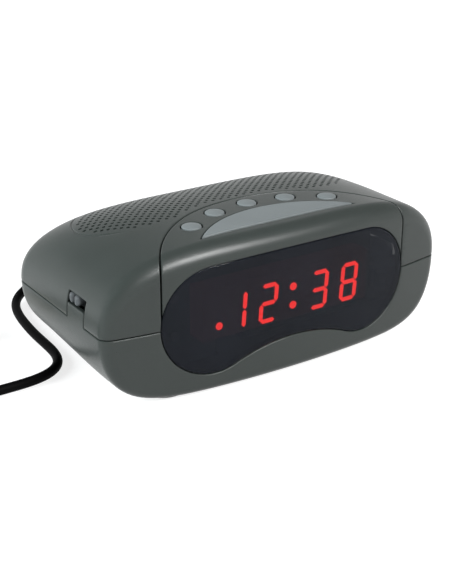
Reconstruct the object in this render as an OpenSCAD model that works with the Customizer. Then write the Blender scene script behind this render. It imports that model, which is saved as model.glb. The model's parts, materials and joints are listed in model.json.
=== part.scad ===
// Mains clock radio with a loaf-shaped two-part case, smoked front window and top controls.
// Millimetres, +Z up, front towards -Y, origin on the table under the middle of the case.

/* [Case] */
// Width of the case at its seam
body_w = 214; // [204:1:230]
// Height of the case above its base
body_h = 80; // [77:1:88]
// Depth of the case from the front apex to the flat back
body_d = 112; // [108:1:124]
// Height of the seam between the case halves above the base
seam_h = 39; // [38:0.5:42]
// Wall of the moulded pieces
wall = 2.5; // [2:0.1:3]
// Shadow gap between neighbouring shells
shell_gap = 0.3; // [0.2:0.05:0.5]
// How far the middle of the front stands ahead of its sides
front_bow = 10.5; // [6:0.5:14]
// Rounding of the front edge at the sides
side_round = 6; // [4:0.5:9]
// Rounding from the front to the top
brow_round = 10; // [8:0.5:12]
// Rounding from the front to the base
chin_round = 4; // [3:0.5:6]
// Depth of the rounding at the back corners
back_round = 12; // [9:0.5:16]
// How far the back corners draw in
back_in = 11; // [7:0.5:14]
// Length of the slope of the top towards the back
roof_run = 72; // [60:1:84]
// Fall of the top along that slope
roof_drop = 20.5; // [14:0.5:24]
// Length of the rise of the underside at the back
heel_run = 20; // [14:1:28]
// Rise of the underside at the back
heel_rise = 8; // [5:0.5:12]
// How far the flat plinth under the case lies in from the sides
plinth_in = 25; // [20:1:27]

/* [Front window] */
// Distance of the window's ends from the sides of the case
lens_side = 30; // [28:0.5:34]
// Height of the window's lowest edge above the base
lens_low = 9.9; // [9:0.1:12]
// Distance of the window's top edge below the rounding of the brow
lens_top = 0.3; // [0.2:0.1:2]
// Rise of the window's top edge above its round ends
lens_crown = 1.2; // [0.8:0.1:2]
// Rise of the arch under the window above its round ends
lens_arch = 10.1; // [8:0.1:12]
// Rim of the window behind the case wall
lens_rim = 2.4; // [1.5:0.1:3]
// Thickness of that rim
lens_rim_t = 1.4; // [1:0.1:2]
// Gap around the window
lens_gap = 0.3; // [0.2:0.05:0.5]

/* [Top controls] */
// Radius of the round edge of the control panel
panel_r = 84; // [82:0.5:86]
// How far the centre of that edge lies ahead of the front
panel_set = 30; // [28:0.5:32]
// Radius of the arc of buttons
key_arc_r = 74.8; // [74:0.1:76]
// Angle between neighbouring buttons
key_step = 17.6; // [16:0.2:18]
// Diameter of a button
key_d = 10.4; // [9:0.2:11]
// How far a button stands above the panel
key_proud = 1; // [0.6:0.1:1.6]
// Travel of a button
key_travel = 0.8; // [0.5:0.1:1]
// Gap around each button and the snooze bar
key_gap = 0.3; // [0.25:0.05:0.5]
// Radius of the rear edge of the snooze bar
snooze_r = 65; // [63:0.5:66.5]
// Distance of the front edge of the snooze bar from the front apex
snooze_front = 14.5; // [13:0.5:17]
// How far the snooze bar stands above the panel
snooze_proud = 0.6; // [0.4:0.1:1]
// Travel of the snooze bar
snooze_travel = 1.2; // [0.8:0.1:1.4]

/* [Side controls] */
// Length of the function switch window
func_win_l = 18.5; // [17:0.5:21]
// Height of the function switch window
func_win_h = 6; // [5:0.2:7]
// Distance of the window's middle from the front apex
func_win_v = 39.2; // [37:0.2:42]
// Height of the window's middle above the seam
func_win_up = 11; // [10:0.2:12]
// Length of the function switch knob
func_knob_l = 11; // [10:0.5:12]
// Travel of the function switch knob
func_travel = 6.5; // [5:0.5:7]
// Diameter of the volume and tuning wheels
wheel_d = 34; // [32:0.5:35]
// Thickness of the wheels
wheel_t = 5; // [4:0.2:6]
// How far the wheels stand out of the side
wheel_proud = 1.6; // [1:0.1:2]
// Distance of the tuning wheel's shaft from the back
tuning_in = 22.5; // [22:0.5:23]
// Gap between the two wheels
wheel_apart = 1; // [0.8:0.1:2]
// Diameter of the wheels' shafts
shaft_d = 4; // [3.5:0.1:5]
// Running clearance around a shaft
run_gap = 0.05; // [0.03:0.01:0.08]
// Travel of the band switch knob
band_travel = 4; // [3:0.5:4.5]

/* [Battery bay] */
// Length of the battery door
door_l = 54; // [53:0.5:56]
// Width of the battery door
door_w = 30; // [29:0.5:32]
// Thickness of the battery door
door_t = 2; // [1.6:0.1:2.2]
// Gap around the battery door
door_gap = 0.3; // [0.2:0.05:0.4]
// How far the battery door slides
door_travel = 25; // [15:1:30]

/* [Boards] */
// Thickness of the circuit boards
pcb_t = 1.6; // [1.2:0.1:2]
// Height of the main board above the base
main_h = 15; // [14:0.5:16]
// Distance of the display board from the front apex
display_v = 21; // [20:0.5:22]
// Depth of the display module
module_t = 12; // [10:0.5:13]
// Depth of the key board below the top of the case
key_board_drop = 15; // [14:0.5:16]
// Distance of the key board's rear edge from the front apex
key_rear = 48; // [47.5:0.5:49]

/* [Speaker] */
// Distance of the loudspeaker's rim from the back
speaker_back = 4.5; // [4.5:0.5:6]
// Gap between the key board and the loudspeaker's ring
speaker_room = 2; // [2:0.5:4]
// Depth of the loudspeaker's rim below the top of the case
speaker_drop = 18; // [17:0.5:19]
// Depth of the loudspeaker
speaker_t = 26; // [24:0.5:28]
// Diameter of a sound hole
grille_d = 2.1; // [1.6:0.1:2.4]
// Half the pitch of the staggered rows of sound holes
grille_step = 2.5; // [2.3:0.1:3]
// Radius of the round ends of the field of sound holes
grille_end_r = 28; // [24:0.5:29]
// Distance of the field's ends from the sides of the case
grille_side = 24; // [22:0.5:30]
// Distance of the field from the back
grille_back = 8; // [7:0.5:12]
// Distance of the sound holes from the control panel
grille_edge = 4.3; // [4.3:0.1:6]

/* [Transformer] */
// Width of the transformer core
core_w = 41; // [36:1:44]
// Height of the transformer core
core_h = 34; // [30:1:36]
// Depth of the stack of the transformer core
core_t = 18; // [14:1:20]

/* [Mains lead] */
// Diameter of the lead
lead_d = 5.3; // [4.6:0.1:5.6]
// Pitch between neighbouring turns of the coiled lead
coil_pitch = 6.2; // [6.1:0.1:6.6]
// Mean radius of the coiled lead
coil_mean_r = 29; // [28:0.5:31]
// Turns in each of the coil's two layers
coil_turns = 3; // [2:1:3]
// Length of the tapered strain relief outside the case
relief_l = 28; // [20:1:34]
// Diameter of the strain relief at the case
relief_d = 10; // [9:0.2:11]

/* [Fixings] */
// Height of the rubber feet under the base
foot_h = 1; // [0.8:0.1:2]
// Diameter of the rubber feet
foot_d = 12; // [10:0.5:14]
// Diameter of the screws
screw_d = 3; // [2.5:0.1:3.2]
// Diameter of the screw heads
head_d = 5.4; // [5:0.1:5.8]
// Diameter of the posts that take screws
post_d = 8; // [7.6:0.2:8.6]
// Clearance around screws and between seated pieces
seat_gap = 0.2; // [0.15:0.05:0.3]

/* [Hidden] */

// Places that the driving dimensions give
front = -body_d / 2;
back = body_d / 2;
base = foot_h;
seam = base + seam_h;
top = base + body_h;
reach = 400;
round_fn = 48;
post_fn = 13;
plinth_half = body_w / 2 - plinth_in;
tuning_v = body_d - tuning_in;
volume_v = tuning_v - wheel_d - wheel_apart;

// Circle that the bowed front follows in plan
bow_r = (pow(body_w / 2, 2) + front_bow * front_bow) / (2 * front_bow);
function bow(x) = bow_r - sqrt(bow_r * bow_r - x * x);

// Powers of the rounded cross-section: roof and keel, across and up
roof_across = 4;
roof_up = 2.4;
keel_across_front = 8;
keel_across_back = 5;
keel_up = 2.2;
roof_fall = 2.4;

// Fillet of radius r at the front, and share of a rounding of length r at the back, at depth v
function front_fillet(r, v) = v >= r ? 0 : r - sqrt(r * r - pow(r - v, 2));
function back_share(r, power, v) = v <= body_d - r ? 0
    : 1 - pow(max(0, 1 - pow(1 - (body_d - v) / r, power)), 1 / power);
function smooth(a, b, v) = let (s = min(1, max(0, (v - a) / (b - a)))) s * s * (3 - 2 * s);

// Half width, roof height over the seam and keel depth under it, at depth v behind the front
function half_w(v) = body_w / 2 - front_fillet(side_round, v) - back_in * back_share(back_round, 2, v);
function roof(v) =
    body_h - seam_h - front_fillet(brow_round, v) - roof_drop * back_share(roof_run, roof_fall, v);
function keel(v) = seam_h - front_fillet(chin_round, v) - heel_rise * back_share(heel_run, 2, v);
function keel_across(v) = keel_across_front
    + (keel_across_back - keel_across_front) * smooth(0.15 * body_d, 0.9 * body_d, v);

// Depth behind the front of a plan point, and the case's outer height and base there
function depth_at(x, y) = let (b = bow(x)) y - front >= body_d / 2 ? y - front
    : max(0, (y - front - b) / (1 - 2 * b / body_d));
function roof_z(x, y) = let (v = depth_at(x, y))
    seam + roof(v) * pow(1 - pow(min(1, abs(x) / half_w(v)), roof_across), 1 / roof_up);
function side_x(v, z) = z > seam ? half_w(v) * pow(1 - pow((z - seam) / roof(v), roof_up), 1 / roof_across)
    : half_w(v) * pow(1 - pow((seam - z) / keel(v), keel_up), 1 / keel_across(v));

function side_in(v, z) =
    (half_w(v) - wall) * pow(1 - pow((z - seam) / (roof(v) - wall), roof_up), 1 / roof_across);

// Quarter of the cross-section: side points by height up to the shoulder, then flat points by width
side_steps = 7;
flat_steps = 8;
shoulder = 0.82;
function quarter(n, m) = let (edge = pow(1 - pow(shoulder, m), 1 / n)) concat(
    [for (i = [0 : side_steps]) let (s = shoulder * i / side_steps) [pow(1 - pow(s, m), 1 / n), s]],
    [for (i = [1 : flat_steps]) let (s = edge * (1 - i / flat_steps)) [s, pow(1 - pow(s, n), 1 / m)]]);

// Closed cross-section at depth v, drawn in by t: right seam, crown, left seam, keel
function section(v, t) = let (w = half_w(v) - t, u = roof(v) - t, k = keel(v) - t,
        a = quarter(roof_across, roof_up), b = quarter(keel_across(v), keel_up), n = len(a)) concat(
    [for (i = [0 : n - 1]) [w * a[i][0], seam + u * a[i][1]]],
    [for (i = [n - 2 : -1 : 0]) [-w * a[i][0], seam + u * a[i][1]]],
    [for (i = [1 : n - 1]) [-w * b[i][0], seam - k * b[i][1]]],
    [for (i = [n - 2 : -1 : 1]) [w * b[i][0], seam - k * b[i][1]]]);

// Depths of the cross-sections, close together where the case curves
stations = concat([for (a = [0 : 18 : 90]) brow_round * (1 - cos(a))],
    [(brow_round + body_d - roof_run) / 2],
    [for (a = [0 : 15 : 60]) body_d - back_round - (roof_run - back_round) * cos(a)],
    [for (a = [0 : 18 : 90]) body_d - back_round * cos(a)]);

// The case's outer form drawn in by t: cross-sections joined front to back, with a bowed front
module loaf(t) {
    n = 4 * (side_steps + flat_steps);
    half = n / 2;
    last = len(stations) - 1;
    points = [for (v = stations) for (p = section(v, t))
        [p[0], front + t + v * (body_d - 2 * t) / body_d + bow(p[0]) * max(0, 1 - 2 * v / body_d), p[1]]];
    side = [for (i = [0 : last - 1]) for (j = [0 : n - 1]) let (k = (j + 1) % n)
        each [[i * n + j, i * n + k, (i + 1) * n + k], [i * n + j, (i + 1) * n + k, (i + 1) * n + j]]];
    cap = [for (j = [0 : half - 1]) let (u = j, l = (n - j) % n, l2 = n - j - 1, u2 = j + 1)
        each concat(j > 0 ? [[u, l, l2]] : [], j < half - 1 ? [[u, l2, u2]] : [])];
    rear = [for (f = cap) [last * n + f[2], last * n + f[1], last * n + f[0]]];
    polyhedron(points, concat(side, cap, rear));
}

// Keeps a moulded skin as one faceted surface
module skin() {
    resize([0, 0, 0]) children();
}
module above(z) {
    translate([-reach / 2, -reach / 2, z]) cube([reach, reach, reach]);
}
module below(z) {
    translate([-reach / 2, -reach / 2, z - reach]) cube([reach, reach, reach]);
}
module rod(d, h, at, fn = round_fn) {
    translate(at) cylinder(d = d, h = h, $fn = fn);
}
module shell() {
    difference() {
        loaf(0);
        loaf(wall);
    }
}

// Window outline grown by g: two round ends, a shallow crown above and an arch below
lens_end_r = (body_h - brow_round - lens_crown - lens_top - lens_low) / 2;
lens_half = body_w / 2 - lens_side - lens_end_r;
crown_rise = lens_end_r + lens_crown;
arch_rise = lens_end_r - lens_arch;
crown_r = (pow(lens_half, 2) + crown_rise * crown_rise - lens_end_r * lens_end_r) / (2 * lens_crown);
arch_r = (pow(lens_half, 2) + arch_rise * arch_rise - lens_end_r * lens_end_r) / (2 * lens_arch);
lens_mid = base + lens_low + lens_end_r;
crown_at = lens_mid + crown_rise - crown_r;
arch_at = lens_mid - arch_rise - arch_r;
crown_turn = atan2(lens_mid - crown_at, lens_half);
arch_turn = atan2(lens_mid - arch_at, lens_half);
// Points after the first one of an arc about c in n steps
function arc(c, r, from, to, n) =
    [for (i = [1 : n]) let (t = from + (to - from) * i / n) c + r * [cos(t), sin(t)]];
module lens_outline(g, fn) {
    end_r = lens_end_r + g;
    end_steps = round(fn * (crown_turn - arch_turn + 180) / 360);
    polygon(concat(
        arc([lens_half, lens_mid], end_r, arch_turn - 180, crown_turn, end_steps),
        arc([0, crown_at], crown_r + g, crown_turn, 180 - crown_turn, round(fn / 8)),
        arc([-lens_half, lens_mid], end_r, 180 - crown_turn, 360 - arch_turn, end_steps),
        arc([0, arch_at], arch_r - g, 180 - arch_turn, arch_turn, round(fn / 4))));
}
// Slab between two copies of the bowed front, from depth a to depth b
module bowed_slab(a, b) {
    translate([0, front + bow_r, base - 1]) linear_extrude(body_h) difference() {
        translate([0, a]) circle(r = bow_r, $fn = 720);
        translate([0, b]) circle(r = bow_r, $fn = 720);
        translate([-reach * 2, -bow_r + body_d / 2]) square([reach * 4, bow_r * 3]);
    }
}
module window_prism(g, depth, fn) {
    translate([0, front + depth, 0]) rotate([90, 0, 0]) linear_extrude(depth + wall) lens_outline(g, fn);
}

// Round edge of the control panel, and the row of buttons on the same centre
panel_y = front - panel_set;
key_angles = [for (i = [-2 : 2]) i * key_step];
function key_at(i) = [key_arc_r * sin(key_angles[i]), panel_y + key_arc_r * cos(key_angles[i])];
module panel_edge(r) {
    translate([0, panel_y, seam]) cylinder(r = r, h = body_h, $fn = 100);
}
// Half-moon of the snooze bar grown by g
module snooze_outline(g) {
    intersection() {
        translate([0, panel_y]) circle(r = snooze_r + g, $fn = 192);
        translate([-snooze_r, front + snooze_front - g]) square([2 * snooze_r, snooze_r]);
    }
}

// Places of the transformer and of the main board's left edge beside its bracket
core_in = 51;
core_x = core_in - body_w / 2;
core_y = back - 30;
bracket_holes = [core_x - core_w / 2 - 4, core_x + core_w / 2 + 4];
main_x0 = bracket_holes[1] + 11.5;
main_back = 14;

// Posts for the case screws, the boards and the loudspeaker, in plan
case_posts = [[-body_w / 2 + 19, front + 19], [body_w / 2 - 21, front + 15.5],
    [-body_w / 2 + 23, core_y + 15], [60, back - 8.5]];
main_posts = [for (y = [front + 36, back - main_back - 6]) for (x = [main_x0 + 6, 46]) [x, y]];
display_posts = [-61, 61];
key_posts = [[-56, front + 23], [56, front + 23], [-32.5, front + 41], [32.5, front + 41]];
ring_t = 0.5;
speaker_d = body_d - key_rear - speaker_room - ring_t - speaker_back;
speaker_y = back - speaker_back - speaker_d / 2;
ear_r = speaker_d / 2 + 3;
speaker_ears = [for (a = [25, 155, 215, 325]) [ear_r * cos(a), speaker_y + ear_r * sin(a)]];

// Heights of the boards, the loudspeaker rim and the wheels
main_z = base + main_h;
main_top = main_z + pcb_t;
display_y = front + display_v;
key_board_z = top - key_board_drop;
speaker_z = top - speaker_drop;
control_h = 11;
wheel_z = main_top + control_h + 1;
wheel_x = side_x(tuning_v, wheel_z + wheel_t / 2) + wheel_proud - wheel_d / 2;
wheel_room = 0.9;

// Switch windows in the sides
func_z = seam + func_win_up;
func_y = front + func_win_v;
func_body_h = 10;
func_body_t = 8;
func_room = 0.6;
func_face = side_in(func_win_v, func_z + func_body_h / 2) - func_room;
band_v = 27;
band_y = front + band_v;
band_win_l = 10;
band_win_h = 4.4;
band_z = main_top + 4.5;
band_face = side_x(band_v, band_z - band_win_h) - wall - 1.2;

// Battery bay in the floor of the lower case, open below
door_y = front + 44;
bay_h = 18;
tongue = 1.5;
lip = 0.7;

// Lead through the back wall
cord_x = -50;
cord_z = base + 18;

// Case shells
case_grey = "#464e4c";
module plinth() {
    r = 14;
    x = plinth_half - r;
    translate([0, 0, base]) linear_extrude(2 * wall) hull()
        for (p = [[-x, front + 7 + r], [x, front + 7 + r], [-x, back - 14 - r], [x, back - 14 - r]])
            translate(p) circle(r = r, $fn = 32);
}
module side_box(x, y, z, l, h) {
    translate([min(x, x + sign(x) * reach / 4), y - l / 2, z - h / 2]) cube([reach / 4, l, h]);
}
// Bay for the back-up battery: walls, the hollow, and the channel that its door slides in
bay_wall = 2.5;
bay_roof = 1.6;
bay_x = -plinth_half;
module bay_walls() {
    translate([bay_x - 2, door_y - door_w / 2 - bay_wall, base])
        cube([door_l + bay_wall + 2, door_w + 2 * bay_wall, bay_h]);
}
module bay_hollow() {
    translate([bay_x + 2, door_y - door_w / 2 + 1.2, base - wall])
        cube([door_l - 4, door_w - 2.4, bay_h + wall - bay_roof]);
    translate([bay_x - reach / 4, door_y - door_w / 2 - door_gap, base - wall])
        cube([door_l + reach / 4 + door_gap, door_w + 2 * door_gap, wall + door_t + door_gap]);
    translate([bay_x - reach / 4, door_y - door_w / 2 - tongue - door_gap, base + lip])
        cube([door_l + reach / 4 + door_gap, door_w + 2 * tongue + 2 * door_gap, door_t + door_gap - lip]);
}
wheel_slot = sqrt(pow(wheel_d / 2, 2) - pow(wheel_d / 2 - wheel_proud - wall - 1, 2)) + wheel_room;
head_z = base + 10;
main_boss_d = 7;
module lower_inner() {
    for (p = case_posts) rod(post_d, seam - shell_gap / 2, [p[0], p[1], 0], post_fn);
    for (p = main_posts) rod(main_boss_d, main_z, [p[0], p[1], 0], post_fn);
    for (x = display_posts) translate([x - 4.5, display_y + pcb_t, 0]) cube([9, 7, display_top - 6]);
    for (x = bracket_holes) rod(main_boss_d, bracket_z, [x, core_y, 0], post_fn);
    bay_walls();
    translate([-reach / 2, func_y - func_win_l / 2 + shell_gap, func_z - func_body_h / 2 - 2])
        cube([reach / 2 - func_face + func_body_t, func_win_l - 2 * shell_gap, 2]);
}
module lower_case() {
    color(case_grey) difference() {
        skin() difference() {
            union() {
                difference() {
                    union() {
                        loaf(0);
                        plinth();
                    }
                    loaf(wall);
                    above(seam - shell_gap / 2);
                }
                intersection() {
                    shell();
                    side_box(-func_face + func_body_t, func_y, (seam + func_z - func_win_h / 2) / 2 - wall,
                        func_win_l - 2 * shell_gap, func_z - func_win_h / 2 - seam + 2 * wall);
                }
                intersection() {
                    loaf(wall / 2);
                    lower_inner();
                }
            }
            window_prism(lens_gap, 12, 72);
            bay_hollow();
            for (p = case_posts) {
                rod(screw_d + 2 * seat_gap, seam, [p[0], p[1], 0], post_fn);
                rod(head_d + 2 * seat_gap, head_z, [p[0], p[1], 0], post_fn);
            }
            for (p = main_posts) rod(screw_d + seat_gap, main_h, [p[0], p[1], main_z - pilot], post_fn);
            for (x = bracket_holes)
                rod(screw_d + seat_gap, main_h, [x, core_y, bracket_z - pilot + 3], post_fn);
            for (x = display_posts) for (z = display_holes) translate([x, display_y, z]) rotate([-90, 0, 0])
                cylinder(d = screw_d + seat_gap, h = 6.5, $fn = round_fn / 2);
            for (v = [volume_v, tuning_v])
                side_box(wheel_x, front + v, wheel_z + wheel_t / 2, 2 * wheel_slot, wheel_t + 2 * wheel_room);
            side_box(band_face, band_y, band_z, band_win_l, band_win_h);
            for (p = foot_at) rod(foot_d + 2 * seat_gap, foot_seat, [p[0], p[1], base - 0.01], post_fn);
        }
        translate([cord_x, back + wall, cord_z]) rotate([90, 0, 0])
            cylinder(d = relief_d - 2 * seat_gap, h = 4 * wall, $fn = round_fn);
    }
}
pilot = 8;
foot_seat = 0.6;
foot_x = plinth_half - 16;
foot_at = [for (y = [front + 18.5, front + 88]) for (x = [-foot_x, foot_x]) [x, y]];
display_top = key_board_z - 5;
display_low = base + 20;
display_holes = [display_low + 7, display_top - 12];

module upper_skin() {
    skin() union() {
        difference() {
            union() {
                intersection() {
                    shell();
                    above(seam + shell_gap / 2);
                }
                intersection() {
                    loaf(wall / 2);
                    union() {
                        for (p = case_posts) rod(post_d, body_h, [p[0], p[1], seam + shell_gap / 2], post_fn);
                        speaker_ring();
                    }
                }
            }
            panel_edge(panel_r + shell_gap);
            window_prism(lens_gap, 12, 72);
            side_box(-func_face + func_body_t, func_y,
                (seam + func_z + func_win_h / 2) / 2 - wall, func_win_l,
                func_z + func_win_h / 2 - seam + 2 * wall);
            for (p = case_posts) rod(screw_d + seat_gap, pilot + 4, [p[0], p[1], seam - 1], post_fn);
            for (p = speaker_ears) rod(screw_d + seat_gap, 5, [p[0], p[1], speaker_z - 1], post_fn);
        }
        panel_ledge();
    }
}
// Sound holes: staggered rows in a field with round ends, behind the control panel
grille_half = body_w / 2 - grille_side - grille_end_r;
grille_y = back - grille_back - grille_end_r;
function in_grille(x, y) = norm([max(0, abs(x) - grille_half), y - grille_y]) <= grille_end_r
    && norm([x, y - panel_y]) >= panel_r + grille_edge;
grille_rows = ceil(grille_end_r / grille_step);
grille_columns = ceil((grille_half + grille_end_r) / grille_step);
grille_holes = [for (i = [-grille_columns : grille_columns]) for (j = [-grille_rows : grille_rows])
    let (x = i * grille_step, y = grille_y + j * grille_step)
    if ((i + j) % 2 == 0 && in_grille(x, y)) [x, y]];
module upper_case() {
    deep = 1.6 * wall;
    color(case_grey) difference() {
        upper_skin();
        for (p = grille_holes) rod(grille_d, 2 * deep, [p[0], p[1], roof_z(p[0], p[1]) - deep], 16);
    }
}
// Ring and posts under the grille that the loudspeaker hangs from
module speaker_ring() {
    difference() {
        union() {
            rod(speaker_d + 2 * ring_t, body_h, [0, speaker_y, speaker_z]);
            for (p = speaker_ears) rod(main_boss_d, body_h, [p[0], p[1], speaker_z], post_fn);
        }
        rod(speaker_d - 6, 2 * body_h, [0, speaker_y, 0]);
    }
}
// Ledge under the round edge of the control panel
module panel_ledge() {
    difference() {
        intersection() {
            difference() {
                loaf(wall / 2);
                loaf(2 * wall);
            }
            panel_edge(panel_r + 3);
            translate([-reach / 2, front + brow_round + wall, seam + seam_h / 2]) cube([reach, reach, reach]);
        }
        panel_edge(panel_r - 2.5);
        intersection() {
            loaf(-wall);
            panel_edge(panel_r + shell_gap);
            difference() {
                loaf(-wall);
                loaf(wall + shell_gap);
            }
        }
    }
}
module control_panel() {
    color(case_grey) difference() {
        skin() union() {
            difference() {
                intersection() {
                    shell();
                    above(seam + shell_gap / 2);
                    panel_edge(panel_r);
                }
                window_prism(lens_gap, 12, 72);
                translate([0, 0, seam]) linear_extrude(body_h) snooze_outline(key_gap);
            }
            intersection() {
                loaf(wall / 2);
                difference() {
                    for (p = key_posts)
                        rod(main_boss_d - 1, body_h, [p[0], p[1], key_board_z + pcb_t], post_fn);
                    for (p = key_posts) rod(screw_d + seat_gap, pilot, [p[0], p[1], key_board_z], post_fn);
                }
            }
        }
        for (i = [0 : 4]) rod(key_d + 2 * key_gap, body_h, [key_at(i)[0], key_at(i)[1], seam]);
    }
}
module display_lens() {
    rim_y = wall + seat_gap;
    color("#1c1216") skin() union() {
        intersection() {
            window_prism(0, 15, 96);
            bowed_slab(seat_gap, rim_y + lens_rim_t / 2);
        }
        intersection() {
            window_prism(lens_rim, 15, 96);
            bowed_slab(rim_y, rim_y + lens_rim_t);
            below(top - brow_round - wall - 1);
        }
    }
}

// Display behind the window
module_w = 106;
module_h = 28.4;
module_x = 2;
module_z = base + 25;
digit_h = 22;
digit_w = 11.2;
stroke = 2.2;
lean = 4;
digit_z = base + 26.3;
digit_xs = [-30.6, -11, 22, 42];
colon_x = 5.5;
dot_d = 4.2;
indicator_d = 4;
module led_display() {
    color("#2a1517") translate([module_x - module_w / 2, display_y - module_t, module_z])
        cube([module_w, module_t, module_h]);
}
// One bar of a digit about [x, z], pointed at both ends, lying or standing, leaned over with the digit
function bar(x, z, l, standing) = [for (p = [[-l / 2, 0], [-l / 2 + stroke / 2, stroke / 2],
        [l / 2 - stroke / 2, stroke / 2], [l / 2, 0], [l / 2 - stroke / 2, -stroke / 2],
        [-l / 2 + stroke / 2, -stroke / 2]])
    let (u = x + (standing ? p[1] : p[0]), w = z + (standing ? p[0] : p[1])) [u + w * tan(lean), w]];
// Seven-bar digit over the middle of its foot: top, upper right, lower right, bottom, lower left,
// upper left and middle bars
module digit(bars) {
    w = (digit_w - stroke) / 2;
    h = (digit_h - stroke) / 2;
    gap = 0.5;
    z = stroke / 2;
    spots = [[0, 2 * h, false], [w, 1.5 * h, true], [w, h / 2, true], [0, 0, false], [-w, h / 2, true],
        [-w, 1.5 * h, true], [0, h, false]];
    for (i = bars)
        polygon(bar(spots[i][0], z + spots[i][1], (spots[i][2] ? h : 2 * w) - gap, spots[i][2]));
}
lit = [[1, 2], [0, 1, 6, 4, 3], [0, 1, 2, 3, 6], [0, 1, 2, 3, 4, 5, 6]];
segment_t = 0.4;
module led_segments() {
    color("#ff2a2a") translate([0, display_y - module_t, 0]) rotate([90, 0, 0]) linear_extrude(segment_t) {
        for (i = [0 : 3]) translate([digit_xs[i], digit_z]) digit(lit[i]);
        for (z = [0.28, 0.76]) translate([colon_x, digit_z + z * digit_h]) circle(d = dot_d, $fn = 24);
        translate([module_x - module_w / 2 + 10, digit_z + 0.25 * digit_h]) circle(d = indicator_d, $fn = 24);
    }
}
board_green = "#2f5d3a";
module display_board() {
    color(board_green) difference() {
        translate([-67, display_y, display_low]) cube([134, pcb_t, display_top - display_low]);
        for (x = display_posts) for (z = display_holes) translate([x, display_y - 1, z]) rotate([-90, 0, 0])
            cylinder(d = screw_d + 2 * seat_gap, h = pcb_t + 2, $fn = round_fn);
    }
}
module display_screws() {
    color("silver") for (x = display_posts) for (z = display_holes) translate([x, display_y, z])
        rotate([-90, 0, 0]) screw(6);
}
// Pan-head screw from its seat: head below zero, shank of length l above
module screw(l) {
    cylinder(d = screw_d, h = l, $fn = round_fn);
    translate([0, 0, -2]) cylinder(d = head_d, h = 2, $fn = round_fn);
}

// Main board over the floor, and what it carries
main_x1 = side_x(body_d - main_back, main_z) - 2 * wall;
main_y0 = front + 20;
main_y1 = back - main_back;
module main_board() {
    notch = display_posts[1];
    color(board_green) difference() {
        translate([main_x0, main_y0, main_z]) cube([main_x1 - main_x0, main_y1 - main_y0, pcb_t]);
        translate([notch - 6, main_y0 - 1, main_z - 1])
            cube([12, display_y + pcb_t + 9 - main_y0, pcb_t + 2]);
        for (p = main_posts) rod(screw_d + 2 * seat_gap, pcb_t + 2, [p[0], p[1], main_z - 1]);
    }
}
module main_board_screws() {
    color("silver") for (p = main_posts) translate([p[0], p[1], main_top]) mirror([0, 0, 1]) screw(pcb_t + 6);
}
module smoothing_capacitors() {
    can_x = main_x0 + 14;
    can_room = 3.4;
    small_can_x = band_face - band_body_t - 8;
    color("#30353c") {
        for (v = [58, 70, 82]) rod(10, magnet_z - main_top - can_room, [can_x, front + v, main_top]);
        for (p = [[24, 50], [33, 50], [small_can_x, 28], [small_can_x, 36.5]])
            rod(6.3, 11, [p[0], front + p[1], main_top]);
    }
}
module radio_chips() {
    color("#1d1f22") for (p = [[20, 60], [48, 62]])
        translate([p[0], front + p[1], main_top]) cube([20, 6.5, 4]);
}
module tuned_coils() {
    color("#b9bcc0") for (p = [[20, 76], [30, 76], [52, 76], [62, 76]])
        translate([p[0], front + p[1], main_top]) cube([7, 7, 10]);
}
// Rod aerial along the board with its winding
rod_d = 10;
rod_y = front + 38;
rod_z = base + 46;
rod_x0 = -28;
rod_l = 100;
module along_x(d, l, x) {
    translate([x, rod_y, rod_z]) rotate([0, 90, 0]) cylinder(d = d, h = l, $fn = round_fn);
}
module ferrite_rod() {
    color("#3a3a3c") along_x(rod_d, rod_l, rod_x0);
}
module antenna_coil() {
    color("#9a5a2a") difference() {
        along_x(rod_d + 4, 26, rod_x0 + 46);
        along_x(rod_d + 2 * seat_gap, 28, rod_x0 + 45);
    }
}
module antenna_holders() {
    color("#d8d4c6") for (x = [4, wheel_x - wheel_d / 2 - 10]) difference() {
        translate([x - 2.5, rod_y - 8, main_top]) cube([5, 16, rod_z + 9 - main_top]);
        along_x(rod_d + 2 * seat_gap, 8, x - 4);
    }
}

// Side wheels on their controls
control_w = 10;
module wheel_body(v) {
    difference() {
        translate([wheel_x - control_w + 4, front + v - control_w / 2, main_top])
            cube([control_w, control_w, control_h]);
        rod(shaft_d + 2 * run_gap, control_h, [wheel_x, front + v, main_top + 2]);
    }
}
module wheel(v) {
    difference() {
        union() {
            rod(wheel_d, wheel_t, [wheel_x, front + v, wheel_z]);
            rod(shaft_d, wheel_z - main_top - 2.5 + 1, [wheel_x, front + v, main_top + 2.5]);
            rod(shaft_d + 3, wheel_z - main_top - control_h - 0.4 + 1,
                [wheel_x, front + v, main_top + control_h + 0.4]);
        }
        rod(screw_d - 1, wheel_t, [wheel_x, front + v, wheel_z + wheel_t - 2]);
    }
}
module volume_control() {
    color("#6a6f74") wheel_body(volume_v);
}
module volume_wheel() {
    color("#2d3231") wheel(volume_v);
}
module tuning_capacitor() {
    color("#c9cbd0") wheel_body(tuning_v);
}
module tuning_wheel() {
    color("#2d3231") wheel(tuning_v);
}

// Slide switches in the side windows
stem_l = 3;
stem_w = 2;
stem_in = 2.5;
band_body_t = 9;
// Switch body with the slot for its knob's stem, face towards +X
module switch_body(face, y, z, l, h, t, travel, z0) {
    difference() {
        translate([face - t, y - l / 2, z0]) cube([t, l, h]);
        translate([face - stem_in - 0.5, y - (stem_l + travel) / 2 - 0.5, z - stem_w / 2 - 0.3])
            cube([stem_in + 1, stem_l + travel + 1, stem_w + 0.6]);
    }
}
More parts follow.
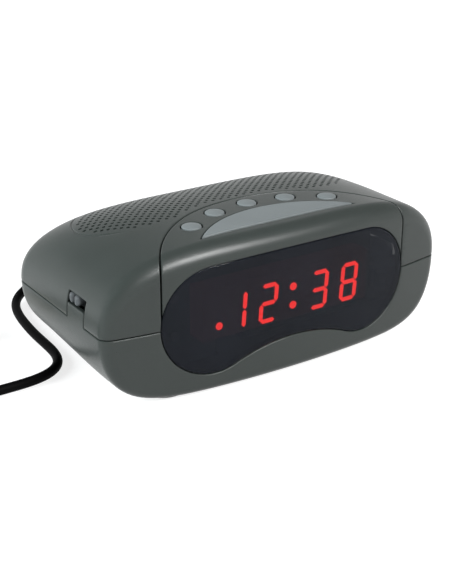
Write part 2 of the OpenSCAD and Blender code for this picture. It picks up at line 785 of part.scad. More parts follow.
// Knob with two ribs and a groove, at the far end of its travel
module switch_knob(face, y, z, l, h, out) {
    r = h / 2;
    translate([face + 0.3, y, z]) {
        difference() {
            rotate([90, 0, 90]) linear_extrude(out) union() {
                translate([-l / 2 + r, -r]) square([l - 2 * r, h]);
                for (s = [-1, 1]) translate([s * (l / 2 - r), 0]) circle(r = r, $fn = round_fn);
            }
            translate([out, 0, -h]) cylinder(d = l / 4.5, h = 2 * h, $fn = round_fn);
        }
        translate([-stem_in - 0.3, -stem_l / 2, -stem_w / 2]) cube([stem_in + 1, stem_l, stem_w]);
    }
}
func_out = side_x(func_win_v, func_z) - func_face;
module function_switch_body() {
    color("#33373a") mirror([1, 0, 0])
        switch_body(func_face, func_y, func_z, 21, func_body_h, func_body_t, func_travel,
            func_z - func_body_h / 2);
}
module function_switch_knob() {
    color("#a9aeb2") mirror([1, 0, 0]) switch_knob(func_face, func_y + func_travel / 2, func_z, func_knob_l,
        func_win_h - 0.8, func_out);
}
module band_switch_body() {
    color("#33373a") switch_body(band_face, band_y, band_z, 14, 9, band_body_t, band_travel, main_top);
}
module band_switch_knob() {
    color("#2d3231") switch_knob(band_face, band_y + band_travel / 2, band_z, band_win_l - band_travel - 0.8,
        band_win_h - 0.8, 3);
}

// Key board under the control panel, its switches, and the buttons that press them
key_x = 62;
key_top = key_board_z + pcb_t;
tact = 6;
tact_h = 3.5;
stem_d = 3;
snooze_keys = [[-20, front + 24], [20, front + 24]];
module key_board() {
    color(board_green) difference() {
        translate([-key_x, front + 12, key_board_z]) cube([2 * key_x, key_rear - 12, pcb_t]);
        for (p = key_posts) rod(screw_d + 2 * seat_gap, pcb_t + 2, [p[0], p[1], key_board_z - 1]);
    }
}
module key_switches() {
    color("#202224") for (p = concat([for (i = [0 : 4]) key_at(i)], snooze_keys)) difference() {
        translate([p[0] - tact / 2, p[1] - tact / 2, key_top]) cube([tact, tact, tact_h]);
        rod(stem_d + 0.6, tact_h, [p[0], p[1], key_top + 1]);
    }
}
module key_board_screws() {
    color("silver") for (p = key_posts) translate([p[0], p[1], key_board_z]) screw(pcb_t + 5);
}
// Domed button with a collar under the panel and a stem into its switch
key_crown = 0.5;
collar = 1;
module button(i) {
    at = key_at(i);
    face = roof_z(at[0], at[1]) + key_proud;
    under = roof_z(at[0], at[1]) - wall - 0.9;
    tip = key_top + tact_h - 0.6;
    color("#8b949b") translate([at[0], at[1], 0]) rotate_extrude($fn = 96) polygon(concat(
        [[0, tip], [stem_d / 2, tip], [stem_d / 2, under - 1.2], [key_d / 2 + collar, under - 1.2],
            [key_d / 2 + collar, under], [key_d / 2, under]],
        [for (a = [0 : 15 : 90]) [key_d / 2 - key_crown * (1 - cos(a)), face - key_crown * (1 - sin(a))]],
        [[0, face]]));
}
module alarm_button() {
    button(0);
}
module time_button() {
    button(1);
}
module sleep_button() {
    button(2);
}
module hour_button() {
    button(3);
}
module minute_button() {
    button(4);
}
snooze_t = 2;
module snooze_bar() {
    color("#8d949b") {
        skin() intersection() {
            translate([0, 0, seam]) linear_extrude(body_h) snooze_outline(0);
            difference() {
                loaf(-snooze_proud);
                loaf(snooze_t);
            }
        }
        for (p = snooze_keys)
            rod(stem_d, top - 1 - (key_top + tact_h - 0.6), [p[0], p[1], key_top + tact_h - 0.6]);
    }
}

// Battery door, flush in its channel, and the snap for the battery inside
module battery_door() {
    color(case_grey) difference() {
        union() {
            translate([bay_x, door_y - door_w / 2, base]) cube([door_l, door_w, door_t]);
            translate([bay_x + 3, door_y - door_w / 2 - tongue, base + lip + door_gap])
                cube([door_l - 6, door_w + 2 * tongue, door_t - lip - door_gap]);
        }
        for (i = [0 : 3])
            translate([bay_x + door_l - 14 + 2.5 * i, door_y - 8, base - 0.4]) cube([1.2, 16, 1]);
    }
}
snap_l = 26;
module battery_snap() {
    color("#26282a")
    translate([bay_x + door_l - 2 - 5, door_y - (door_w - 2.4) / 2 + 0.7, base + door_t + 1.5])
        cube([4.8, snap_l, bay_h - bay_roof - door_t - 2.4]);
}

// Loudspeaker under the grille: basket, cone and magnet on one axis
flange_t = 1.5;
basket_d = speaker_d - 6;
magnet_d = 32;
magnet_h = 9;
magnet_z = speaker_z - speaker_t;
module speaker_frame() {
    color("#8f9499") difference() {
        union() {
            rod(speaker_d, flange_t, [0, speaker_y, speaker_z - flange_t]);
            for (p = speaker_ears) rod(main_boss_d, flange_t, [p[0], p[1], speaker_z - flange_t]);
            translate([0, speaker_y, magnet_z + magnet_h])
                cylinder(d1 = magnet_d, d2 = basket_d + 3, h = speaker_t - magnet_h - flange_t,
                    $fn = round_fn);
        }
        translate([0, speaker_y, magnet_z + magnet_h + 1.5])
            cylinder(d1 = magnet_d - 3, d2 = basket_d, h = speaker_t - magnet_h - 1.5 + 0.01, $fn = round_fn);
        for (p = speaker_ears) rod(screw_d + 2 * seat_gap, 4, [p[0], p[1], speaker_z - flange_t - 1]);
    }
}
module speaker_cone() {
    coil_d = 14;
    z0 = magnet_z + magnet_h + 1.5;
    d0 = magnet_d - 3;
    rise = speaker_t - magnet_h - 1.5;
    edge = basket_d - (basket_d - d0) * 1.6 / rise - 0.6;
    color("#2b2b2d") translate([0, speaker_y, z0]) rotate_extrude($fn = 96) polygon([[0, 0.3],
        [coil_d / 2, 0.3], [coil_d / 2, rise / 2], [edge / 2 - 1.5, rise - 1.6], [edge / 2, rise - 1.6],
        [edge / 2, rise - 0.6], [edge / 2 - 2, rise - 0.6],
        [coil_d / 2 - 1, rise / 2 + 1.2], [0, rise / 2 + 3]]);
}
module speaker_magnet() {
    color("#4a4c50") rod(magnet_d, magnet_h, [0, speaker_y, magnet_z]);
}
module speaker_screws() {
    color("silver") for (p = speaker_ears) translate([p[0], p[1], speaker_z - flange_t]) screw(flange_t + 3);
}

// Mains transformer on its bracket
bracket_z = base + 10;
bracket_t = 1.5;
core_z = bracket_z + bracket_t;
leg = core_w / 3;
slot_w = core_w / 6;
slot_h = core_h - leg;
module transformer_bracket() {
    color("#b4b7ba") difference() {
        translate([bracket_holes[0] - 4, core_y - 8, bracket_z])
            cube([bracket_holes[1] - bracket_holes[0] + 8, 16, bracket_t]);
        for (x = bracket_holes) rod(screw_d + 2 * seat_gap, 4, [x, core_y, bracket_z - 1]);
    }
}
module transformer_screws() {
    color("silver") for (x = bracket_holes)
        translate([x, core_y, core_z]) mirror([0, 0, 1]) screw(bracket_t + 4);
}
module transformer_core() {
    color("#5b5f63") difference() {
        translate([core_x - core_w / 2, core_y - core_t / 2, core_z]) cube([core_w, core_t, core_h]);
        for (s = [-1, 1])
            translate([core_x + s * (leg + slot_w) / 2 - slot_w / 2, core_y - core_t, core_z + leg / 2])
            cube([slot_w, 2 * core_t, slot_h]);
    }
}
module transformer_winding() {
    room = 0.3;
    side = slot_w - 2 * room;
    color("#b9853a") translate([core_x, core_y, core_z + leg / 2 + room]) difference() {
        translate([-leg / 2 - room - side, -core_t / 2 - room - side, 0])
            cube([leg + 2 * room + 2 * side, core_t + 2 * room + 2 * side, slot_h - 2 * room]);
        translate([-leg / 2 - room, -core_t / 2 - room, -1])
            cube([leg + 2 * room, core_t + 2 * room, slot_h + 2]);
    }
}

// Screws through the case posts, and the feet
module case_screws() {
    color("silver") for (p = case_posts) translate([p[0], p[1], head_z]) screw(seam - head_z + pilot);
}
module rubber_feet() {
    color("#1b1c1d") for (p = foot_at) rod(foot_d, foot_h + foot_seat - 0.01, [p[0], p[1], 0]);
}

// Strain relief in the back wall: inner flange, neck in the wall and a ringed taper outside
module cord_grip() {
    neck = relief_d / 2 - 2 * seat_gap;
    end = lead_d / 2 + 0.8;
    color("#161718") translate([cord_x, back, cord_z]) rotate([-90, 0, 0]) rotate_extrude($fn = round_fn)
        polygon([[0, -wall - 2], [relief_d / 2 + 1.5, -wall - 2], [relief_d / 2 + 1.5, -wall - seat_gap],
            [neck, -wall - seat_gap], [neck, seat_gap], [relief_d / 2, seat_gap],
            [relief_d / 2, 3], [end, relief_l], [0, relief_l]]);
}

// Mains lead: route of its free stretch on the table, chosen by hand, from the strain relief to the coil
lead_r = lead_d / 2;
tie_t = 0.8;
layer = lead_d + 0.6;
coil_low = lead_r + tie_t + 0.2;
route = [[cord_x, back + relief_l + 0.2, cord_z], [cord_x, back + relief_l + lead_d + 0.2, cord_z],
    [-51, 98, 17.6], [-55, 106, 14.5], [-63, 111, 10.5], [-73, 112, 7], [-82, 108.5, 4.4], [-88.5, 101, 3.2],
    [-92.5, 91, 2.9], [-95, 80, 2.9], [-96.5, 69, 2.9], [-97.7, 57, 2.9], [-98.2, 45, 2.9], [-98.5, 34, 2.9],
    [-99.5, 24, 2.9], [-103, 14.5, 2.9], [-109.5, 8, 2.9], [-118, 4.6, 2.9], [-129, 3, 3.1],
    [-142, 2, coil_low], [-150, 2, coil_low]];
coil_rounds = 2 * coil_turns + 0.5;
coil_out_r = coil_mean_r + coil_pitch * coil_rounds / 4;
coil_at = [-200, 2 + coil_out_r];
coil_steps = 24;
// Spiral in and out: clockwise from the near side, climbing a layer in the half turn where it reverses
function coil_r(turn) = coil_out_r - coil_pitch * min(turn, coil_rounds - turn);
function coil_z(turn) = coil_low + layer * smooth(coil_rounds / 2 - 0.25, coil_rounds / 2 + 0.25, turn);
loops = [for (i = [0 : coil_rounds * coil_steps]) let (turn = i / coil_steps, a = -90 - 360 * turn)
    [coil_at[0] + coil_r(turn) * cos(a), coil_at[1] + coil_r(turn) * sin(a), coil_z(turn)]];
plug_t = 13.7;
plug_l = 36;
plug_half = 17.5;
plug_z = plug_t / 2 + 0.1;
plug_at = [coil_at[0] + 26, coil_at[1] + coil_out_r, plug_z];
coil_from = route[len(route) - 1] - [0.2, 0, 0];
coil_path = concat([coil_from, coil_from - [lead_d, 0, 0], [-175, 2, coil_low]], loops,
    [plug_at + [-16, 0, 1.6], plug_at + [-lead_d - 2, 0, 0.2], plug_at - [0.2, 0, 0]]);
// Least gap between neighbouring turns, measured between points that lie several diameters apart
coil_gap = min([for (i = [0 : len(coil_path) - 1]) for (j = [i + coil_steps / 2 : 1 : len(coil_path) - 1])
    norm(coil_path[i] - coil_path[j])]) - lead_d;
echo(coil_gap = coil_gap);

// Smooth curve through a list of points, with n steps to each stretch
function between(p, i, s) = let (a = p[max(0, i - 1)], b = p[i], c = p[i + 1], d = p[min(len(p) - 1, i + 2)])
    0.5 * (2 * b + (c - a) * s + (2 * a - 5 * b + 4 * c - d) * s * s + (3 * b - a - 3 * c + d) * s * s * s);
function smoothed(p, n) = concat([for (i = [0 : len(p) - 2]) for (k = [0 : n - 1]) between(p, i, k / n)],
    [p[len(p) - 1]]);
function unit(v) = v / norm(v);

// Tube of radius r along a path that never runs upright
module tube(path, r, sides) {
    last = len(path) - 1;
    points = [for (i = [0 : last])
        let (along = unit(path[min(last, i + 1)] - path[max(0, i - 1)]), side = unit(cross(along, [0, 0, 1])),
            up = cross(side, along))
        for (k = [0 : sides - 1]) let (a = 360 * (k + 0.5) / sides)
            path[i] + r * (cos(a) * side + sin(a) * up)];
    skins = [for (i = [0 : last - 1]) for (k = [0 : sides - 1]) let (m = (k + 1) % sides)
        each [[i * sides + k, (i + 1) * sides + m, i * sides + m],
            [i * sides + k, (i + 1) * sides + k, (i + 1) * sides + m]]];
    ends = [for (k = [1 : sides - 2])
        each [[0, k, k + 1], [last * sides, last * sides + k + 1, last * sides + k]]];
    polyhedron(points, concat(skins, ends));
}
lead_black = "#17181a";
module mains_cord() {
    color(lead_black) tube(smoothed(route, 3), lead_r, 10);
}
module cord_coil() {
    color(lead_black) tube(coil_path, lead_r, 6);
}
// Strap round the turns on the far side of the coil
module cord_tie() {
    room = 0.4;
    w = 4;
    inner = coil_r(coil_rounds / 2) - lead_r - room;
    outer = coil_out_r + lead_r + room;
    high = coil_low + layer + lead_r + room;
    color("#303234") translate([coil_at[0], coil_at[1] - w / 2, 0]) difference() {
        translate([-outer - tie_t, 0, 0.1]) cube([outer - inner + 2 * tie_t, w, high + tie_t - 0.1]);
        translate([-outer, -1, tie_t + 0.1]) cube([outer - inner, w + 2, high - tie_t - 0.1]);
    }
}
// Flat two-pin plug lying beside the coil
pin_d = 4;
pin_l = 19;
pin_step = 18.6;
pin_in = 6;
module plug_body() {
    color(lead_black) translate([plug_at[0], plug_at[1], plug_z - plug_t / 2]) difference() {
        linear_extrude(plug_t)
            polygon([[0, -5], [10, -8], [25, -16], [plug_l, -plug_half], [plug_l, plug_half],
            [25, 16], [10, 8], [0, 5]]);
        for (s = [-1, 1]) translate([plug_l - pin_in, s * pin_step / 2, plug_t / 2]) rotate([0, 90, 0])
            cylinder(d = pin_d + 2 * seat_gap, h = pin_in + 1, $fn = round_fn);
    }
}
module plug_pins() {
    color("#c9b48a") for (s = [-1, 1]) translate([plug_at[0] + plug_l - pin_in + seat_gap,
        plug_at[1] + s * pin_step / 2, plug_z]) rotate([0, 90, 0])
            cylinder(d = pin_d, h = pin_in + pin_l - seat_gap, $fn = round_fn);
}

lower_case();
upper_case();
control_panel();
display_lens();
led_display();
led_segments();
display_board();
main_board();
key_board();
key_switches();
alarm_button();
time_button();
sleep_button();
hour_button();
minute_button();
snooze_bar();
function_switch_body();
function_switch_knob();
band_switch_body();
band_switch_knob();
volume_control();
volume_wheel();
tuning_capacitor();
tuning_wheel();
battery_door();
battery_snap();
speaker_frame();
speaker_cone();
speaker_magnet();
transformer_core();
transformer_winding();
transformer_bracket();
ferrite_rod();
antenna_coil();
antenna_holders();
smoothing_capacitors();
radio_chips();
tuned_coils();
case_screws();
main_board_screws();
display_screws();
key_board_screws();
speaker_screws();
transformer_screws();
rubber_feet();
cord_grip();
mains_cord();
cord_coil();
cord_tie();
plug_body();
plug_pins();
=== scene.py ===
import json
import math

import bpy
import numpy as np
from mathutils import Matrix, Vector


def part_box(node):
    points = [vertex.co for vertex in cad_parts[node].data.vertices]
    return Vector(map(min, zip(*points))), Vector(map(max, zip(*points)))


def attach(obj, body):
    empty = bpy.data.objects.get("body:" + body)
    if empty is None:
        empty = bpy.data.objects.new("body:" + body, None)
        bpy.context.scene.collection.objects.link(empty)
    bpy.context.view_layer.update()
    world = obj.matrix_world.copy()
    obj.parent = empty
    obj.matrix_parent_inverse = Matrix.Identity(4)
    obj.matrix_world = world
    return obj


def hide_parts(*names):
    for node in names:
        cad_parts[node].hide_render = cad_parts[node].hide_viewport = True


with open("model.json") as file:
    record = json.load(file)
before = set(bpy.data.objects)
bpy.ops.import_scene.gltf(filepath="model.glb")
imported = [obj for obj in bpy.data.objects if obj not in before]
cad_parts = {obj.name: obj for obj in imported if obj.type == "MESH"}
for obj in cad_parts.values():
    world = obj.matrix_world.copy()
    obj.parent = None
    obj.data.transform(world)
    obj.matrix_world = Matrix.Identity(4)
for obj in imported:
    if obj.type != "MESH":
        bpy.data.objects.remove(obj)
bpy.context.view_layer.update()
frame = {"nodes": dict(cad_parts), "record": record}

nodes = frame["nodes"]
mm = 0.001
scene = bpy.context.scene

# Camera at the height and angle of the picture, worked out from the case's outline
viewpoint = {
    "place": (-350.6, -523.4, 296.9),
    "target": (-0.5, 8.0, 22.3),
    "lens": 75.71,
}


def addObject(name, data):
    added = bpy.data.objects.new(name, data)
    scene.collection.objects.link(added)
    return added


def aimAt(thing, place, target):
    thing.location = place
    thing.rotation_mode = "QUATERNION"
    thing.rotation_quaternion = (Vector(target) - Vector(place)).to_track_quat("-Z", "Y")


def makeCamera():
    data = bpy.data.cameras.new("camera")
    data.lens = viewpoint["lens"]
    data.sensor_width = 36
    data.clip_start = 0.01
    data.clip_end = 50
    scene.camera = addObject("camera", data)
    aimAt(scene.camera, Vector(viewpoint["place"]) * mm, Vector(viewpoint["target"]) * mm)


makeCamera()
print("camera set")


def setSocket(socket, value):
    # A constant, or the end of a link
    if isinstance(value, Link):
        value.tree.links.new(value.socket, socket)
    else:
        socket.default_value = value


class Link:
    # One shader socket; sums, differences and products with numbers become Math nodes
    def __init__(self, tree, socket=None):
        self.tree = tree
        self.socket = socket

    def make(self, kind, settings=None, inputs=None, out=0):
        # Any other node: its settings first, then the values or links of its sockets
        node = self.tree.nodes.new(kind)
        for key, value in (settings or {}).items():
            setattr(node, key, value)
        for key, value in (inputs or {}).items():
            setSocket(node.inputs[key], value)
        return Link(self.tree, node.outputs[out])

    def maths(self, operation, a, b):
        return self.make("ShaderNodeMath", {"operation": operation}, {0: a, 1: b})

    def __add__(self, other):
        return self.maths("ADD", self, other)

    def __rsub__(self, other):
        return self.maths("SUBTRACT", other, self)

    def __mul__(self, other):
        return self.maths("MULTIPLY", self, other)

    def ramp(self, low, high):
        # 0 at low, 1 at high, straight between them and held outside
        return self.make("ShaderNodeMapRange", {"clamp": True}, {
            0: self, 1: low, 2: high, 3: 0.0, 4: 1.0})

    def blend(self, first, second):
        # Colour between first and second by this value
        return self.make(
            "ShaderNodeMix", {"data_type": "RGBA"}, {0: self, 6: first, 7: second}, out=2)


def tint(colour, share):
    # A colour made lighter or darker by a share of itself, as RGBA
    return tuple(min(1.0, c * (1 + share)) for c in colour) + (1.0,)


class Surface(Link):
    # A new material: its Principled shader and what feeds it
    def __init__(self, name):
        self.material = bpy.data.materials.new(name)
        self.material.use_nodes = True
        super().__init__(self.material.node_tree)
        self.shader = next(n for n in self.tree.nodes if n.type == "BSDF_PRINCIPLED")
        self.place = self.make("ShaderNodeTexCoord", out=3)

    def put(self, values):
        # Constants or links into the shader's sockets
        for name, value in values.items():
            setSocket(self.shader.inputs[name], value)

    def noise(self, size, detail=2.0, rough=0.5, place=None):
        # Noise whose lumps are about size millimetres across
        return self.make("ShaderNodeTexNoise", None, {
            "Vector": place or self.place, "Scale": 1 / (size * mm), "Detail": detail,
            "Roughness": rough})

    def waves(self, across, scale, distortion, detail, detailScale=1.0):
        # Sine bands side by side across one axis
        form = {"bands_direction": across, "wave_profile": "SIN"}
        return self.make("ShaderNodeTexWave", form, {
            "Vector": self.place, "Scale": scale, "Distortion": distortion, "Detail": detail,
            "Detail Scale": detailScale}, out=1)

    def paint(self, shade, colour, low, high):
        # Base colour that goes by the shade between two shares lighter or darker
        self.put({"Base Color": shade.blend(tint(colour, low), tint(colour, high))})

    def bump(self, strength, distance, height):
        # Bump from a height, with its distance in millimetres
        self.put({"Normal": self.make("ShaderNodeBump", None, {
            "Strength": strength, "Distance": distance * mm, "Height": height})})


def mouldedPlastic(name, look):
    # Spark-eroded moulding: fine grain in the bump and the gloss, broad cloudiness in the colour
    made = Surface(name)
    grain = made.noise(look["grain"], 3.0, 0.6)
    cloud = made.noise(22.0, 3.0)
    speck = made.noise(look["grain"] * 0.6, 1.0)
    shade = cloud.ramp(0.3, 0.7) * 0.7 + speck.ramp(0.3, 0.7) * 0.3
    made.paint(shade, look["colour"], -look["vary"], look["vary"])
    least = look["rough"] - look["glossVary"] / 2
    made.put({"Roughness": grain.ramp(0.25, 0.75) * look["glossVary"] + least,
              "Specular IOR Level": look["specular"]})
    made.bump(look["bump"], look["grain"] * 0.25, grain)
    return made.material


def turnedMetal(name, look):
    # Metal with fine scratches drawn out along one axis and a little tarnish
    made = Surface(name)
    drawn = made.make("ShaderNodeMapping", None, {
        "Vector": made.place, "Scale": look["drawn"]})
    scratch = made.noise(look["grain"], 3.0, place=drawn)
    made.paint(made.noise(6.0, 3.0).ramp(0.35, 0.75), look["colour"], 0.06, -0.2)
    made.put({"Roughness": scratch.ramp(0.2, 0.8) * 0.18 + (look["rough"] - 0.09), "Metallic": 1.0})
    made.bump(0.25, 0.05, scratch)
    return made.material


def boardMaterial(name, look):
    # Circuit board: paler lines of copper under green lacquer, in two crossing sets
    made = Surface(name)
    across = made.waves("X", 70.0, 9.0, 2.0, 1.5).ramp(0.62, 0.7)
    along = made.waves("Y", 55.0, 7.0, 2.0, 1.5).ramp(0.66, 0.74)
    line = made.maths("MAXIMUM", across, along)
    made.paint(line, look["colour"], 0.0, 0.7)
    made.put({"Roughness": 0.5 - line * 0.15})
    made.bump(0.3, 0.04, line)
    return made.material


def windingMaterial(name, look):
    # Enamelled wire: fine turns side by side
    made = Surface(name)
    turns = made.waves("X", 350.0, 0.4, 1.0)
    made.paint(turns, look["colour"], -0.55, 0.1)
    made.put({"Roughness": 0.5 - turns * 0.2, "Metallic": 0.6})
    made.bump(0.8, 0.2, turns)
    return made.material


def smokedMaterial(name, look):
    # Smoked window: nearly black, polished, with faint flow lines and a little light let through
    made = Surface(name)
    made.paint(made.noise(35.0).ramp(0.3, 0.7), look["colour"], -0.2, 0.2)
    dust = made.noise(6.0).ramp(0.35, 0.75)
    made.put({"Roughness": dust * 0.03 + look["rough"], "Alpha": look["alpha"],
              "Specular IOR Level": look["specular"]})
    return made.material


def litMaterial(name, look):
    # An even red glow, a shade weaker in slow patches: strong in the bars, and faint in the film
    # round them, where the glow is painted light that stands in for the bars' light given back by
    # the film
    made = Surface(name)
    patch = made.noise(5.0, 1.0).ramp(0.2, 0.8)
    glow = patch.blend(tint(look["glow"], -0.12), tint(look["glow"], 0.0))
    made.put({"Emission Color": glow, "Emission Strength": look["strength"], "Roughness": 0.4})
    made.paint(patch, look["colour"], -0.1, 0.0)
    return made.material


# Plastics, with the size of their grain in millimetres
finishKeys = ("colour", "rough", "glossVary", "grain", "bump", "vary", "specular")
finishes = {
    "case_plastic": ((0.023, 0.0282, 0.0262), 0.34, 0.18, 0.5, 0.4, 0.07, 0.34),
    "key_plastic": ((0.112, 0.126, 0.129), 0.5, 0.12, 0.45, 0.2, 0.06, 0.35),
    "knob_plastic": ((0.064, 0.07, 0.074), 0.42, 0.12, 0.5, 0.15, 0.06, 0.25),
    "dark_plastic": ((0.022, 0.024, 0.024), 0.5, 0.14, 0.5, 0.25, 0.12, 0.5),
    "pale_plastic": ((0.58, 0.57, 0.52), 0.5, 0.12, 0.5, 0.2, 0.06, 0.5),
    "foot_rubber": ((0.02, 0.02, 0.021), 0.78, 0.14, 0.6, 0.4, 0.2, 0.3),
    "lead_sheath": ((0.002, 0.002, 0.0022), 0.55, 0.16, 0.5, 0.25, 0.2, 0.03),
}
metals = {
    "plated_steel": {"colour": (0.6, 0.61, 0.62), "rough": 0.3, "grain": 0.3, "drawn": (1, 1, 8)},
    "core_steel": {"colour": (0.13, 0.135, 0.14), "rough": 0.5, "grain": 0.35, "drawn": (8, 1, 1)},
    "pin_brass": {"colour": (0.72, 0.6, 0.36), "rough": 0.25, "grain": 0.3, "drawn": (1, 8, 8)},
}
materials = {name: mouldedPlastic(name, dict(zip(finishKeys, row)))
             for name, row in finishes.items()}
materials.update({name: turnedMetal(name, look) for name, look in metals.items()})
others = {
    "circuit_board": (boardMaterial, {"colour": (0.035, 0.13, 0.06)}),
    "copper_winding": (windingMaterial, {"colour": (0.55, 0.26, 0.1)}),
    "smoked_window": (smokedMaterial, {
        "colour": (0.0072, 0.0088, 0.0128), "rough": 0.05, "alpha": 0.78, "specular": 0.11}),
    "led_red": (litMaterial, {
        "colour": (0.8, 0.05, 0.04), "glow": (1.0, 0.03, 0.025), "strength": 18.0}),
    # The module's weak glow is painted light: the film glows itself in place of the bars' light
    # that its red face gives back
    "display_module": (litMaterial, {
        "colour": (0.05, 0.012, 0.016), "glow": (1.0, 0.16, 0.22), "strength": 0.1}),
}
materials.update({name: make(name, look) for name, (make, look) in others.items()})
slotOf = {s["node"]: s["material_slot"] for s in frame["record"]["subparts"]}
for nodeName, nodeObject in nodes.items():
    nodeObject.data.materials.clear()
    nodeObject.data.materials.append(materials[slotOf[nodeName]])
print("materials ready:", len(materials))


def addPiece(name, solid, body, finish, replaced=(), sharp=35):
    # Points in millimetres and faces as index arrays become one mesh object that rides on a body
    points, faces = solid
    mesh = bpy.data.meshes.new(name)
    mesh.from_pydata((points * mm).tolist(), [], [f for part in faces for f in part.tolist()])
    mesh.validate()
    mesh.shade_smooth()
    mesh.set_sharp_from_angle(angle=math.radians(sharp))
    mesh.materials.append(materials[finish])
    piece = addObject(name, mesh)
    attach(piece, body)
    if replaced:
        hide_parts(*replaced)
    return piece


def gridFaces(rows, columns, closed=False):
    # Quads of a grid of points counted row by row; closed joins the last column to the first
    r = np.arange(rows - 1)[:, None] * columns
    c = np.arange(columns if closed else columns - 1)[None, :]
    c2 = (c + 1) % columns
    quads = np.stack(np.broadcast_arrays(r + c, r + c2, r + columns + c2, r + columns + c), axis=-1)
    return quads.reshape(-1, 4)


def loftSolid(rings):
    # Closed rings of points joined in order, with a polygon on the first and on the last
    count, around = rings.shape[:2]
    numbers = np.arange(count * around).reshape(count, around)
    faces = [gridFaces(count, around, closed=True), numbers[:1, ::-1], numbers[-1:]]
    return rings.reshape(-1, 3), faces


# The case: cross-sections with rounded sides, joined from the bowed front to the flat back
shell = {
    "width": 214.0, "height": 80.0, "depth": 112.0, "seam": 39.0, "foot": 1.0, "wall": 2.5,
    "gap": 0.5, "frontBow": 10.5, "sideRound": 6.0, "browRound": 10.0, "chinRound": 4.0,
    "backRound": 12.0, "backIn": 11.0, "roofRun": 72.0, "roofDrop": 20.5, "roofFall": 2.4,
    "roofAcross": 4.0, "roofUp": 2.4, "heelRun": 20.0, "heelRise": 8.0, "keelAcrossFront": 8.0,
    "keelAcrossBack": 5.0, "keelUp": 2.2, "shoulder": 0.82, "edgeRound": 0.55,
}
frontY = -shell["depth"] / 2
baseZ = shell["foot"]
seamZ = baseZ + shell["seam"]
bowRadius = ((shell["width"] / 2) ** 2 + shell["frontBow"] ** 2) / (2 * shell["frontBow"])


def bow(x):
    # Depth of the bowed front behind its apex: a circle in plan
    return bowRadius - np.sqrt(bowRadius ** 2 - x * x)


def frontFillet(r, v):
    # Quarter circle of radius r at the front
    return np.where(v >= r, 0.0, r - np.sqrt(np.maximum(0, r * r - (r - np.minimum(v, r)) ** 2)))


def backShare(run, power, v):
    # 0 until the last run of the depth, then a rounded rise to 1 at the back
    s = np.clip(1 - (shell["depth"] - v) / run, 0, 1)
    return 1 - np.maximum(0, 1 - s ** power) ** (1 / power)


def smoothStep(a, b, v):
    s = np.clip((v - a) / (b - a), 0, 1)
    return s * s * (3 - 2 * s)


def halfWidth(v):
    f = shell
    return (f["width"] / 2 - frontFillet(f["sideRound"], v)
            - f["backIn"] * backShare(f["backRound"], 2, v))


def roofRise(v):
    f = shell
    return (f["height"] - f["seam"] - frontFillet(f["browRound"], v)
            - f["roofDrop"] * backShare(f["roofRun"], f["roofFall"], v))


def keelDrop(v):
    f = shell
    return (f["seam"] - frontFillet(f["chinRound"], v)
            - f["heelRise"] * backShare(f["heelRun"], 2, v))


def keelAcross(v):
    f = shell
    change = f["keelAcrossBack"] - f["keelAcrossFront"]
    return f["keelAcrossFront"] + change * smoothStep(0.15 * f["depth"], 0.9 * f["depth"], v)


def casePoint(uv):
    # u runs round the section: 0 crown, 2 right seam, 4 keel, 6 left seam. Each quarter goes by
    # height up to the shoulder and then by width. v is the depth, and past its ends the form closes
    f = shell
    u = (uv[:, 0] + 2) % 8 - 2
    depth = np.clip(uv[:, 1], 0, f["depth"])
    close = np.clip(1 + np.minimum(uv[:, 1], 0), 0, 1) * np.clip(1 + f["depth"] - uv[:, 1], 0, 1)
    upper = np.abs(u) <= 2
    q = np.abs(np.where(upper, u, 4 - u))
    across = np.where(upper, f["roofAcross"], keelAcross(depth))
    up = np.where(upper, f["roofUp"], f["keelUp"])
    edge = (1 - f["shoulder"] ** up) ** (1 / across)
    flatX = edge * np.clip(q, 0, 1)
    flatZ = (1 - flatX ** across) ** (1 / up)
    sideZ = f["shoulder"] * np.clip(2 - q, 0, 1)
    sideX = (1 - sideZ ** up) ** (1 / across)
    x = np.where(q <= 1, flatX, sideX)
    z = np.where(q <= 1, flatZ, sideZ)
    side = np.where(upper, np.sign(u), np.sign(4 - u))
    x = side * x * halfWidth(depth) * close
    z = seamZ + np.where(upper, z * roofRise(depth), -z * keelDrop(depth)) * close
    y = frontY + depth + bow(x) * np.maximum(0, 1 - 2 * depth / f["depth"])
    return np.stack([x, y, z], axis=1)


def roofHeight(x, y):
    # Outer height of the top over a plan point
    b = bow(x)
    v = np.where(y - frontY >= shell["depth"] / 2, y - frontY,
                 np.maximum(0, (y - frontY - b) / (1 - 2 * b / shell["depth"])))
    share = np.minimum(1, np.abs(x) / halfWidth(v))
    return seamZ + roofRise(v) * (1 - share ** shell["roofAcross"]) ** (1 / shell["roofUp"])


def surfaceNormal(surface, uv):
    # Cross product of the two tangents, by small steps either way
    h = np.array([[1e-4, 0], [0, 1e-3]])
    du = surface(uv + h[0]) - surface(uv - h[0])
    dv = surface(uv + h[1]) - surface(uv - h[1])
    n = np.cross(du, dv)
    return n / np.maximum(np.linalg.norm(n, axis=1, keepdims=True), 1e-12)


def spacedDepths(lengths):
    # Depths from front to back whose steps follow the curves: each length is (from, to, step)
    deep, edge = shell["depth"], shell["backRound"]
    quarter = edge * (1 - np.cos(np.linspace(0, math.pi / 2, 400)))
    fine = np.unique(np.concatenate([quarter, np.linspace(edge, deep - edge, 400), deep - quarter]))
    curves = np.stack([fine, halfWidth(fine), roofRise(fine), keelDrop(fine)])
    along = np.concatenate([[0], np.cumsum(np.abs(np.diff(curves, axis=1)).sum(0))])
    rows = []
    for start, end, step in lengths:
        a, b = np.interp([start, end], fine, along)
        places = np.linspace(a, b, max(2, int(round((b - a) / step)) + 1))
        rows.append(np.interp(places, along, fine))
    return np.unique(np.concatenate(rows).round(6))


def closedDepths(front, lengths, back=(0.0, 1)):
    # Depths with the ends that close in before and after: each end is (how far, how many values)
    deep = shell["depth"]
    before = np.linspace(-front[0], 0, front[1])[:-1]
    after = np.linspace(deep, deep + back[0], back[1])[1:]
    return np.concatenate([before, spacedDepths(lengths), after])


